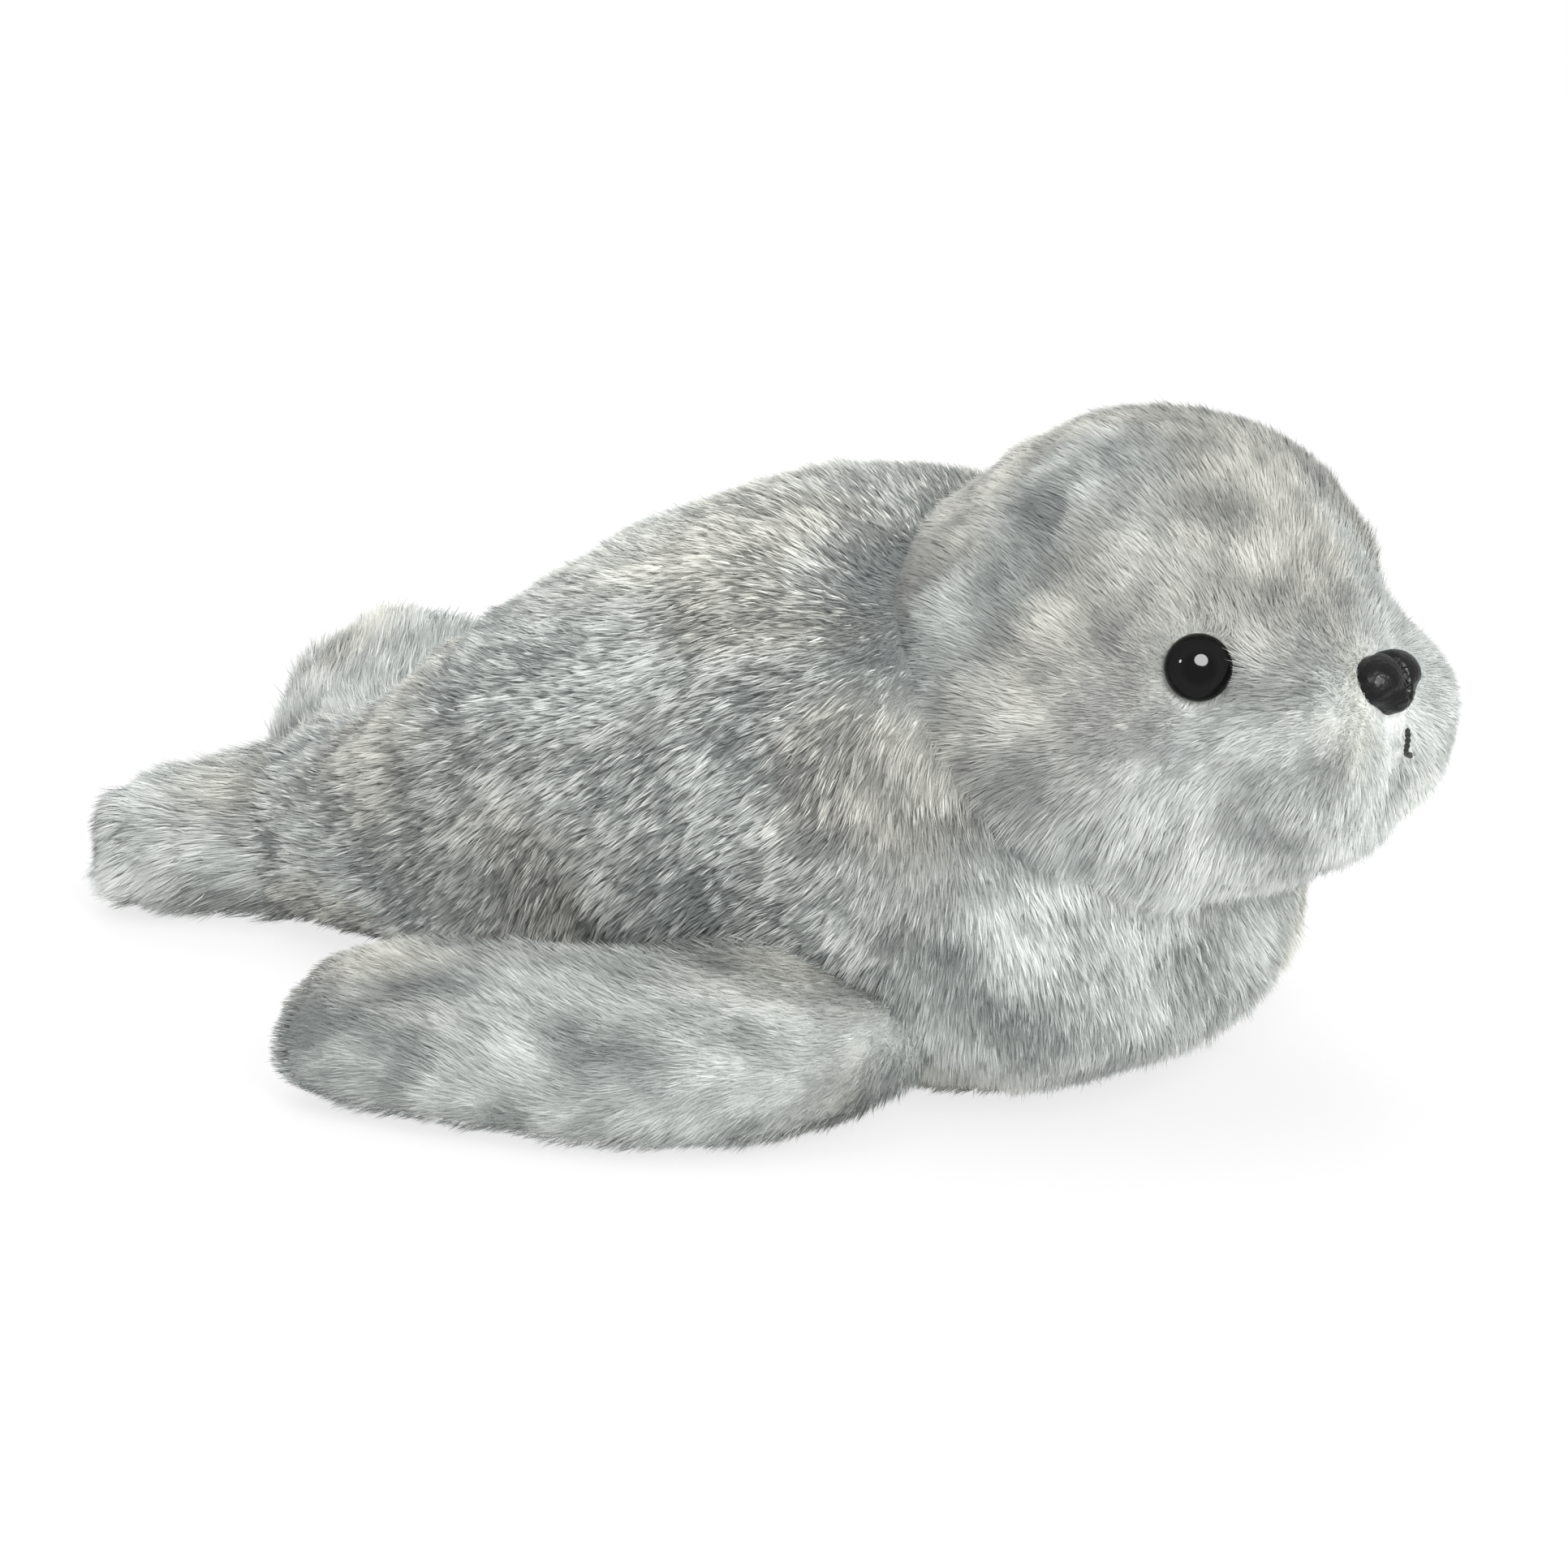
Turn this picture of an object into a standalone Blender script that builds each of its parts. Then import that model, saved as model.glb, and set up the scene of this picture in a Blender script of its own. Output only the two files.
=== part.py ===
"""A plush seal lying on its belly: six stuffed fur-fabric bags sewn into one animal.

+X points along the seal towards its nose, +Y to its left and +Z up. The floor it lies on is z = 0.
Sizes are in metres, over the fur. A bag is a wall of backing cloth with its pile, open at the mouth
it is sewn by, round a polyester fibre filling. The eyes and the nose are moulded parts, each with a
ribbed post that runs through the fabric into a washer behind it.
"""
import math

import bmesh
import bpy
import numpy as np

# Overall sizes
MM = 0.001
CLEARANCE = 0.3 * MM
COVER_THICKNESS = 5.0 * MM

# Torso: its length from the last section of the tail to the neck seam, its widest half width, and
# the height of the back over the floor
TORSO_LENGTH = 210.0 * MM
TORSO_HALF_WIDTH = 60.0 * MM
BACK_HEIGHT = 112.0 * MM
TAIL_CAP = 8.0 * MM
TORSO_SIDES = 20
TORSO_RINGS = 18
TAIL_RINGS = 4

# Torso sections from the tail to the neck seam. Each row gives the section's centre along X as a
# share of the torso's length, its centre height and its heights above and below the centre as
# shares of the back height, its half width as a share of the widest, and its backward tilt in
# degrees.
TORSO_SECTIONS = (
    (-0.590, 0.120, 0.095, 0.105, 0.330, 0.0),
    (-0.505, 0.165, 0.160, 0.162, 0.475, 0.0),
    (-0.390, 0.241, 0.222, 0.250, 0.640, 0.0),
    (-0.248, 0.339, 0.332, 0.353, 0.790, 0.0),
    (-0.095, 0.424, 0.428, 0.446, 0.910, 0.0),
    (0.057, 0.482, 0.482, 0.518, 0.985, 3.0),
    (0.200, 0.545, 0.468, 0.589, 1.000, 15.0),
    (0.317, 0.610, 0.430, 0.615, 0.975, 29.0),
    (0.369, 0.656, 0.412, 0.558, 0.940, 40.0),
    (0.410, 0.710, 0.405, 0.425, 0.880, 50.0),
)

# Head: ellipsoids that blend into one surface over HEAD_BLEND. Each row gives a centre, in mm
# from the middle of the neck seam, and three half sizes in mm.
HEAD_BLEND = 4.0 * MM
HEAD_SIDES = 22
HEAD_RINGS = 14
HEAD_MIDDLE = (14.0, 0.0, 8.5)
CRANIUM = ((11.0, 0.0, 17.5), (41.0, 40.0, 37.0))
MUZZLE = ((37.5, 0.0, 1.0), (22.0, 28.5, 24.0))
WHISKER_PAD = ((51.5, 15.0, 0.5), (12.5, 14.8, 15.5))
JAW = ((39.0, 0.0, -12.5), (18.0, 21.0, 14.0))
CHEEK = ((15.0, 24.0, -1.5), (24.0, 21.0, 22.0))
NECK_DEPTH = 30.0 * MM

# Eyes: each aims from the head's middle at a point of its own, in mm from the neck seam, and lies
# in a shallow hollow
EYE_DIAMETER = 12.5 * MM
EYE_DOME = 4.2 * MM
EYE_SEAT_DEPTH = 3.2 * MM
EYE_AIM = (37.5, 27.5, 15.0)
EYE_HOLLOW = 3.0 * MM
EYE_HOLLOW_WIDTH = 13.0 * MM

# Nose
NOSE_WIDTH = 16.5 * MM
NOSE_HEIGHT = 12.0 * MM
NOSE_DOME = 5.0 * MM
NOSE_SEAT_DEPTH = 3.2 * MM
NOSE_AIM = (64.0, 0.0, 10.5)

# Posts and washers
POST_DIAMETER = 3.0 * MM
POST_LENGTH = 13.0 * MM
WASHER_DIAMETER = 13.0 * MM
WASHER_THICKNESS = 1.6 * MM

# Mouth: black thread, an upright stitch from the nose down to a fork and two short ones that lean
# out below it. Heights are from the neck seam.
THREAD_DIAMETER = 1.2 * MM
THREAD_LIFT = 0.80 * MM
MOUTH_TOP = 2.8 * MM
MOUTH_FORK = -1.7 * MM
MOUTH_SPREAD = 4.2 * MM
MOUTH_DROP = 1.8 * MM

# Front flippers: centre line, half chord and half thickness, from inside the shoulder to the tip.
# The first number is a share of the torso's length along X, the second is how far the line lies
# outside the torso's widest half width in mm, the next three are in mm, and the last is how far
# the flipper leans on the body, its inner edge up, in degrees.
FLIPPER_SIDES = 16
FRONT_FLIPPER = (
    (0.262, -26.0, 27.0, 23.0, 14.0, 20.0),
    (0.248, -4.0, 19.5, 24.0, 15.0, 22.0),
    (0.162, 14.5, 16.5, 23.5, 13.8, 25.0),
    (0.038, 23.5, 15.5, 22.5, 12.8, 25.0),
    (-0.075, 29.5, 14.8, 21.0, 12.2, 24.0),
    (-0.128, 31.5, 14.0, 19.0, 11.5, 22.0),
)
FRONT_TIP = 10.5 * MM

# Hind flippers, in the same form, out from the tail's half width. The right one lies back, and the
# left one is turned out and up.
TAIL_SHARE = 0.42
HIND_FLIPPER_RIGHT = (
    (-0.471, -22.0, 16.5, 13.5, 12.0, 0.0),
    (-0.543, -10.5, 15.2, 16.5, 14.0, 0.0),
    (-0.602, 0.5, 14.2, 17.0, 14.0, 0.0),
    (-0.640, 7.5, 13.2, 15.5, 13.0, 0.0),
)
HIND_FLIPPER_LEFT = (
    (-0.490, -21.0, 18.0, 13.5, 11.0, 0.0),
    (-0.567, -4.0, 22.5, 19.0, 12.0, 0.0),
    (-0.622, 17.5, 28.5, 22.5, 12.0, 0.0),
    (-0.643, 31.5, 33.5, 19.5, 11.5, 0.0),
)
HIND_TIP = 8.0 * MM

# Colours of the covers and the hard parts
FUR = (0.40, 0.42, 0.41, 1.0)
FIBRE = (0.90, 0.90, 0.88, 1.0)
BLACK = (0.010, 0.010, 0.011, 1.0)
WASHER = (0.85, 0.85, 0.82, 1.0)


def clear_scene():
    """Remove what the start-up scene holds."""
    for ob in list(bpy.data.objects):
        bpy.data.objects.remove(ob, do_unlink=True)


def material(name, colour, roughness):
    """A Principled material of one colour."""
    mat = bpy.data.materials.new(name)
    mat.use_nodes = True
    shader = mat.node_tree.nodes["Principled BSDF"]
    shader.inputs["Base Color"].default_value = colour
    shader.inputs["Roughness"].default_value = roughness
    mat.diffuse_color = colour
    return mat


def add_object(name, points, faces, mat):
    """Make a mesh object from points and faces, its faces turned outwards."""
    mesh = bpy.data.meshes.new(name)
    mesh.from_pydata([tuple(map(float, p)) for p in points], [], faces)
    bm = bmesh.new()
    bm.from_mesh(mesh)
    bmesh.ops.remove_doubles(bm, verts=bm.verts, dist=1e-6)
    bmesh.ops.recalc_face_normals(bm, faces=bm.faces)
    bm.to_mesh(mesh)
    bm.free()
    ob = bpy.data.objects.new(name, mesh)
    bpy.context.scene.collection.objects.link(ob)
    if mat is not None:
        ob.data.materials.append(mat)
    return ob


def cubic(rows, t):
    """Read the rows as a smooth curve at t: 0 is the first row, 1 the last."""
    rows = np.asarray(rows, float)
    slope = np.gradient(rows, axis=0)
    place = np.clip(t, 0.0, 1.0) * (len(rows) - 1)
    i = np.minimum(place.astype(int), len(rows) - 2)
    f = (place - i)[:, None]
    h00 = 2 * f**3 - 3 * f**2 + 1
    h10 = f**3 - 2 * f**2 + f
    h01 = -2 * f**3 + 3 * f**2
    h11 = f**3 - f**2
    return h00 * rows[i] + h10 * slope[i] + h01 * rows[i + 1] + h11 * slope[i + 1]


def section_outline(sides, power, power_below):
    """Points round a rounded section: its sideways and upward shares of the half sizes."""
    angle = np.linspace(0.0, 2 * math.pi, sides, endpoint=False)
    c = np.cos(angle)
    s = np.sin(angle)
    share = 2 / np.where(s < 0, power_below, power)
    return np.sign(c) * np.abs(c) ** share, np.sign(s) * np.abs(s) ** share


def torso_rings(inset):
    """Rings of the torso from the tail to the neck seam, moved inwards by inset."""
    t = np.linspace(0.0, 1.0, TORSO_RINGS)
    row = cubic(TORSO_SECTIONS, t)
    across, up = section_outline(TORSO_SIDES, 2.1, 2.7)
    tilt = np.radians(row[:, 5])
    centre = np.stack([row[:, 0] * TORSO_LENGTH, 0 * t, row[:, 1] * BACK_HEIGHT], 1)
    upward = np.stack([-np.sin(tilt), 0 * t, np.cos(tilt)], 1)
    high = row[:, 2] * BACK_HEIGHT - inset
    low = row[:, 3] * BACK_HEIGHT - inset
    wide = row[:, 4] * TORSO_HALF_WIDTH - inset
    size = np.where(up[None, :] > 0, high[:, None], low[:, None]) * up[None, :]
    rings = centre[:, None, :] + upward[:, None, :] * size[:, :, None]
    rings[:, :, 1] += wide[:, None] * across[None, :]
    bend = np.linspace(math.pi / 2, 0.0, TAIL_RINGS + 1)[1:-1]
    first = rings[0]
    middle = centre[0]
    caps = []
    for a in bend:
        cap = middle + (first - middle) * math.cos(a)
        cap[:, 0] -= (TAIL_CAP - inset) * math.sin(a)
        caps.append(cap)
    pole = middle - np.array([TAIL_CAP - inset, 0.0, 0.0])
    rings = np.concatenate([np.array(caps), rings])
    rings[:, :, 2] = np.maximum(rings[:, :, 2], inset)
    return pole, rings


def neck_plane():
    """The middle of the neck seam and the direction that points out of the torso there."""
    row = TORSO_SECTIONS[-1]
    tilt = math.radians(row[5])
    centre = np.array([row[0] * TORSO_LENGTH, 0.0, row[1] * BACK_HEIGHT])
    return centre, np.array([math.cos(tilt), 0.0, math.sin(tilt)])


def flipper_rings(rows, tip, beside, side, inset):
    """Rings of a flipper from its root to its tip, moved inwards by inset; side is 1 or -1.

    The flipper's line is set out from the half width beside it.
    """
    count = 4 * (len(rows) - 1) + 1 if len(rows) < 5 else 2 * (len(rows) - 1) + 1
    t = np.linspace(0.0, 1.0, count)
    row = cubic(rows, t) * np.array([TORSO_LENGTH, MM, MM, MM, MM, 1.0])
    row[:, 1] += beside
    line = row[:, :3] * np.array([1.0, side, 1.0])
    run = np.gradient(line, axis=0)
    run /= np.linalg.norm(run, axis=1)[:, None]
    chord = np.cross(run, np.array([0.0, 0.0, 1.0]))
    chord /= np.linalg.norm(chord, axis=1)[:, None]
    thick = np.cross(chord, run)
    lean = side * np.radians(row[:, 5])[:, None]
    chord, thick = (
        chord * np.cos(lean) - thick * np.sin(lean),
        thick * np.cos(lean) + chord * np.sin(lean),
    )
    across, up = section_outline(FLIPPER_SIDES, 2.2, 2.2)
    wide = (row[:, 3] - inset)[:, None, None] * across[None, :, None]
    high = (row[:, 4] - inset)[:, None, None] * up[None, :, None]
    rings = line[:, None, :] + chord[:, None, :] * wide + thick[:, None, :] * high
    caps = []
    for a in np.linspace(0.0, math.pi / 2, 6)[1:-1]:
        cap = line[-1] + (rings[-1] - line[-1]) * math.cos(a)
        caps.append(cap + run[-1] * (tip - inset) * math.sin(a))
    pole = line[-1] + run[-1] * (tip - inset)
    rings = np.concatenate([rings, np.array(caps)])
    rings[:, :, 2] = np.maximum(rings[:, :, 2], inset)
    return pole, rings[::-1]


def blend(distances):
    """Join distances into one smooth surface, blended over HEAD_BLEND."""
    low = np.min(distances, axis=0)
    return low - HEAD_BLEND * np.log(np.sum(np.exp((low - distances) / HEAD_BLEND), axis=0))


def from_neck(offset, side=1):
    """The place of an offset in mm from the middle of the neck seam; side -1 mirrors it."""
    return neck_plane()[0] + np.array(offset) * MM * np.array([1.0, side, 1.0])


def head_distance(p):
    """How far points lie outside the head, roughly, in metres: negative inside it."""
    parts = []
    for middle, half in (CRANIUM, MUZZLE, WHISKER_PAD, JAW, CHEEK):
        for side in ((1, -1) if middle[1] else (1,)):
            h = np.array(half) * MM
            q = np.linalg.norm((p - from_neck(middle, side)) / h, axis=-1)
            parts.append((q - 1.0) * h.min())
    centre, out = neck_plane()
    row = TORSO_SECTIONS[-1]
    upward = np.array([-out[2], 0.0, out[0]])
    d = p - centre
    q = np.stack([
        d @ out / NECK_DEPTH,
        d[..., 1] / (row[4] * TORSO_HALF_WIDTH),
        d @ upward / (row[2] * BACK_HEIGHT),
    ], -1)
    parts.append((np.linalg.norm(q, axis=-1) - 1.0) * NECK_DEPTH)
    hollow = np.zeros(p.shape[:-1])
    for side in (1, -1):
        away = np.linalg.norm(p - from_neck(EYE_AIM, side), axis=-1)
        hollow += EYE_HOLLOW * np.exp(-((away / EYE_HOLLOW_WIDTH) ** 2))
    return blend(np.array(parts)) + hollow


def head_point(direction, inset):
    """Where rays from the head's middle leave the surface that lies inset inside the head."""
    origin = from_neck(HEAD_MIDDLE)
    near = np.zeros(direction.shape[:-1])
    far = near + 0.14
    for _ in range(40):
        mid = (near + far) / 2
        inside = head_distance(origin + direction * mid[..., None]) < -inset
        near = np.where(inside, mid, near)
        far = np.where(inside, far, mid)
    return origin + direction * near[..., None]


def head_rings(inset, plane_offset):
    """Rings of the head from its crown to the neck seam, on the surface that lies inset inside."""
    centre, out = neck_plane()
    upward = np.array([-out[2], 0.0, out[0]])
    across = np.array([0.0, 1.0, 0.0])
    turn = np.linspace(0.0, 2 * math.pi, HEAD_SIDES, endpoint=False)
    sideways = across * np.cos(turn)[:, None] + upward * np.sin(turn)[:, None]
    low = np.full(HEAD_SIDES, 0.2)
    high = np.full(HEAD_SIDES, 3.0)
    for _ in range(30):
        mid = (low + high) / 2
        ray = out * np.cos(mid)[:, None] + sideways * np.sin(mid)[:, None]
        above = (head_point(ray, inset) - centre) @ out > plane_offset
        low = np.where(above, mid, low)
        high = np.where(above, high, mid)
    share = np.linspace(0.0, 1.0, HEAD_RINGS + 1)[1:]
    angle = share[:, None] * low[None, :]
    ray = out * np.cos(angle)[..., None] + sideways[None] * np.sin(angle)[..., None]
    pole = head_point(out[None], inset)[0]
    return pole, head_point(ray, inset)


def sheet_faces(start, rings, sides, pole):
    """Faces of a closed-ended sheet of rings whose first point has the index start."""
    faces = []
    for j in range(sides):
        k = (j + 1) % sides
        faces.append((pole, start + j, start + k))
        for i in range(rings - 1):
            a = start + i * sides
            faces.append((a + j, a + sides + j, a + sides + k))
            faces.append((a + j, a + sides + k, a + k))
    return faces


def bag(name, outer, inner, mat):
    """A cover: the outer and the inner sheet, joined round the mouth they share."""
    pole_out, rings_out = outer
    pole_in, rings_in = inner
    count, sides = rings_out.shape[:2]
    points = [pole_out, pole_in]
    points.extend(rings_out.reshape(-1, 3))
    points.extend(rings_in.reshape(-1, 3))
    first = 2
    second = 2 + count * sides
    faces = sheet_faces(first, count, sides, 0)
    faces.extend(tuple(reversed(f)) for f in sheet_faces(second, count, sides, 1))
    for j in range(sides):
        k = (j + 1) % sides
        a = first + (count - 1) * sides
        b = second + (count - 1) * sides
        faces.append((a + j, b + j, b + k, a + k))
    return add_object(name, points, faces, mat)


def plug(name, sheet, mat):
    """A solid: one sheet, closed across its mouth."""
    pole, rings = sheet
    count, sides = rings.shape[:2]
    points = [pole]
    points.extend(rings.reshape(-1, 3))
    points.append(rings[-1].mean(axis=0))
    faces = sheet_faces(1, count, sides, 0)
    last = 1 + (count - 1) * sides
    for j in range(sides):
        faces.append((last + j, last + sides, last + (j + 1) % sides))
    return add_object(name, points, faces, mat)


def cut(target, cutter, operation="DIFFERENCE"):
    """Apply a Boolean to the target and keep the result as its mesh."""
    mod = target.modifiers.new("cut", "BOOLEAN")
    mod.operation = operation
    mod.solver = "EXACT"
    mod.object = cutter
    bpy.context.view_layer.update()
    graph = bpy.context.evaluated_depsgraph_get()
    result = bpy.data.meshes.new_from_object(target.evaluated_get(graph))
    target.modifiers.remove(mod)
    old = target.data
    target.data = result
    bpy.data.meshes.remove(old)
    bm = bmesh.new()
    bm.from_mesh(target.data)
    bmesh.ops.remove_doubles(bm, verts=bm.verts, dist=2e-6)
    bmesh.ops.triangulate(bm, faces=[f for f in bm.faces if len(f.verts) > 4])
    bm.to_mesh(target.data)
    bm.free()


def drop(ob):
    """Remove a cutting body."""
    bpy.data.objects.remove(ob, do_unlink=True)


def surface_frame(aim, side=1):
    """A place on the head in the direction of aim, with its outward, sideways and upward axes."""
    origin = from_neck(HEAD_MIDDLE)
    ray = from_neck(aim, side) - origin
    point = head_point((ray / np.linalg.norm(ray))[None], 0.0)[0]
    step = 1.0 * MM
    out = np.array([
        head_distance(point + step * axis) - head_distance(point - step * axis)
        for axis in np.eye(3)
    ])
    out /= np.linalg.norm(out)
    across = np.cross(np.array([0.0, 0.0, 1.0]), out)
    across /= np.linalg.norm(across)
    return point, out, across, np.cross(out, across)


def turned(name, frame, profile, mat, sides=20, outline=None):
    """Turn a profile of (radius, height) pairs round a place's outward axis.

    An outline gives the share of the radius at each angle, for a face that isn't round. It shapes
    what lies in front of the backing cloth, while the post and the washer's recess stay round.
    """
    point, out, side, up = frame
    angle = np.linspace(0.0, 2 * math.pi, sides, endpoint=False)
    points = []
    rings = []
    for radius, height in profile:
        if radius == 0.0:
            rings.append([len(points)])
            points.append(point + out * height)
            continue
        shaped = outline and height > -0.8 * COVER_THICKNESS and radius > 0.7 * POST_DIAMETER
        share = outline(angle) if shaped else np.ones(sides)
        ring = point + out * height
        spoke = side * np.cos(angle)[:, None] + up * np.sin(angle)[:, None]
        ring = ring + spoke * (radius * share)[:, None]
        rings.append(list(range(len(points), len(points) + sides)))
        points.extend(ring)
    faces = []
    for a, b in zip(rings, rings[1:]):
        for j in range(sides):
            k = (j + 1) % sides
            if len(a) == 1:
                faces.append((a[0], b[j], b[k]))
            elif len(b) == 1:
                faces.append((a[j], a[k], b[0]))
            else:
                faces.append((a[j], a[k], b[k], b[j]))
    if len(rings[0]) > 1 and len(rings[-1]) > 1:
        for j in range(sides):
            k = (j + 1) % sides
            faces.append((rings[-1][j], rings[-1][k], rings[0][k], rings[0][j]))
    return add_object(name, points, faces, mat)


def dome_profile(radius, height, seat):
    """Half outline of a moulded face with its post: a dome on a rim that sits seat deep."""
    profile = [(0.0, height)]
    for a in np.linspace(0.0, math.pi / 2, 6)[1:]:
        profile.append((radius * math.sin(a), height * math.cos(a)))
    profile.append((radius * 0.96, -seat))
    post = POST_DIAMETER / 2
    profile.append((post, -seat))
    end = -seat - POST_LENGTH
    profile.append((post, end + post))
    profile.append((post * 0.6, end))
    profile.append((0.0, end))
    return profile


def nose_outline(angle):
    """Share of the nose's half width at each angle: wide above, drawn in to a narrow lower end."""
    flat = NOSE_HEIGHT / NOSE_WIDTH
    c = np.cos(angle)
    s = np.sin(angle)
    round_share = flat / np.sqrt((flat * c) ** 2 + s**2)
    pinch = 1.0 - 0.22 * np.exp(-(((angle - 1.25 * math.pi) / 0.42) ** 2))
    pinch -= 0.22 * np.exp(-(((angle - 1.75 * math.pi) / 0.42) ** 2))
    notch = 1.0 - 0.10 * np.exp(-(((angle - 0.5 * math.pi) / 0.22) ** 2))
    chin = 1.0 + 0.16 * np.exp(-(((angle - 1.5 * math.pi) / 0.35) ** 2))
    return round_share * pinch * notch * chin


def fitting(name, frame, radius, dome, seat, outline, covers):
    """Set a moulded part and its washer, and open the covers and filling for them."""
    turned(name, frame, dome_profile(radius, dome, seat), material(name, BLACK, 0.15), 18, outline)
    wall = COVER_THICKNESS + 0.4 * MM
    bore = POST_DIAMETER / 2 + CLEARANCE
    rim = WASHER_DIAMETER / 2
    low = -wall - WASHER_THICKNESS
    ring = [(bore, -wall), (rim, -wall), (rim, low), (bore, low)]
    turned(name + "_washer", frame, ring, material(name + "_washer", WASHER, 0.5))
    wide = radius + CLEARANCE
    post = bore
    deep = -seat - CLEARANCE
    end = -seat - POST_LENGTH - CLEARANCE
    shape = [(0.0, 12.0 * MM), (wide, 12.0 * MM), (wide, deep), (post, deep)]
    shape += [(post, -wall + CLEARANCE), (rim + CLEARANCE, -wall + CLEARANCE)]
    shape += [(rim + CLEARANCE, low - CLEARANCE), (post, low - CLEARANCE), (post, end), (0.0, end)]
    cutter = turned("cutter", frame, shape, None, 18, outline)
    for cover in covers:
        cut(cover, cutter)
    drop(cutter)


def front_of_head(y, z, lift):
    """The point straight ahead on the muzzle at a given y and z, moved forward by lift."""
    near = from_neck(HEAD_MIDDLE)[0]
    far = near + 0.1
    for _ in range(40):
        mid = (near + far) / 2
        inside = head_distance(np.array([[mid, y, z]]))[0] < 0.0
        near = mid if inside else near
        far = far if inside else mid
    return np.array([near + lift, y, z])


def mouth_plan():
    """The mouth seen from the front: its fork, and three arms as rows of left, middle and right.

    Each arm's first row is a side of the small triangle round the fork, and its last is a point.
    """
    half = THREAD_DIAMETER / 2
    seam = from_neck((0.0, 0.0, 0.0))[2]
    fork = np.array([0.0, seam + MOUTH_FORK])
    ends = [
        np.array([0.0, seam + MOUTH_TOP]),
        fork + np.array([MOUTH_SPREAD, -MOUTH_DROP]),
        fork + np.array([-MOUTH_SPREAD, -MOUTH_DROP]),
    ]
    angle = [math.atan2(end[1] - fork[1], end[0] - fork[0]) for end in ends]
    turn = 2 * math.pi
    corners = []
    for k in range(3):
        before = angle[k - 1]
        after = before + (angle[k] - before) % -turn
        middle = (before + after) / 2
        corners.append(fork + 1.2 * half * np.array([math.cos(middle), math.sin(middle)]))
    arms = []
    for k, end in enumerate(ends):
        run = (end - fork) / np.linalg.norm(end - fork)
        left = np.array([-run[1], run[0]])
        rows = [(corners[k], fork, corners[(k + 1) % 3])]
        for share in (0.5, 0.85):
            middle = fork + (end - fork) * share
            rows.append((middle + left * half, middle, middle - left * half))
        arms.append((rows, end))
    return fork, arms


def build_mouth():
    """The mouth's stitches: a ridged front over a flat back, both set out from mouth_plan."""
    fork, arms = mouth_plan()
    thick = THREAD_DIAMETER
    places = []
    sheets = []
    for edge, ridge in ((THREAD_LIFT + 0.55 * thick, THREAD_LIFT + thick), (THREAD_LIFT, THREAD_LIFT)):
        sheet = {}

        def point(place, lift, sheet=sheet):
            key = (round(place[0], 7), round(place[1], 7))
            if key not in sheet:
                sheet[key] = len(places)
                places.append(front_of_head(place[0], place[1], lift))
            return sheet[key]

        faces = []
        rims = []
        for rows, end in arms:
            ids = [[point(l, edge), point(m, ridge), point(r, edge)] for l, m, r in rows]
            tip = point(end, edge)
            for a, b in zip(ids, ids[1:]):
                faces += [(a[0], b[0], b[1]), (a[0], b[1], a[1])]
                faces += [(a[1], b[1], b[2]), (a[1], b[2], a[2])]
            last = ids[-1]
            faces += [(last[0], tip, last[1]), (last[1], tip, last[2])]
            rims.append([row[0] for row in ids] + [tip] + [row[2] for row in reversed(ids)])
        sheets.append((faces, rims))
    faces = list(sheets[0][0])
    faces += [tuple(reversed(f)) for f in sheets[1][0]]
    for front, back in zip(sheets[0][1], sheets[1][1]):
        for i in range(len(front) - 1):
            faces += [(front[i], back[i], back[i + 1]), (front[i], back[i + 1], front[i + 1])]
    add_object("mouth_stitches", places, faces, material("mouth_stitches", BLACK, 0.6))


def build_flipper(name, rows, tip, beside, torso, side):
    """One flipper, its cover and its filling, both ended against the torso."""
    label = "left" if side > 0 else "right"
    outer = flipper_rings(rows, tip, beside, side, 0.0)
    inner = flipper_rings(rows, tip, beside, side, COVER_THICKNESS)
    core = flipper_rings(rows, tip, beside, side, COVER_THICKNESS + CLEARANCE)
    cover = bag(name + "_cover_" + label, outer, inner, material(name + "_cover_" + label, FUR, 0.9))
    filling = plug(name + "_filling_" + label, core,
                   material(name + "_filling_" + label, FIBRE, 1.0))
    cut(cover, torso)
    cut(filling, torso)


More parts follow.
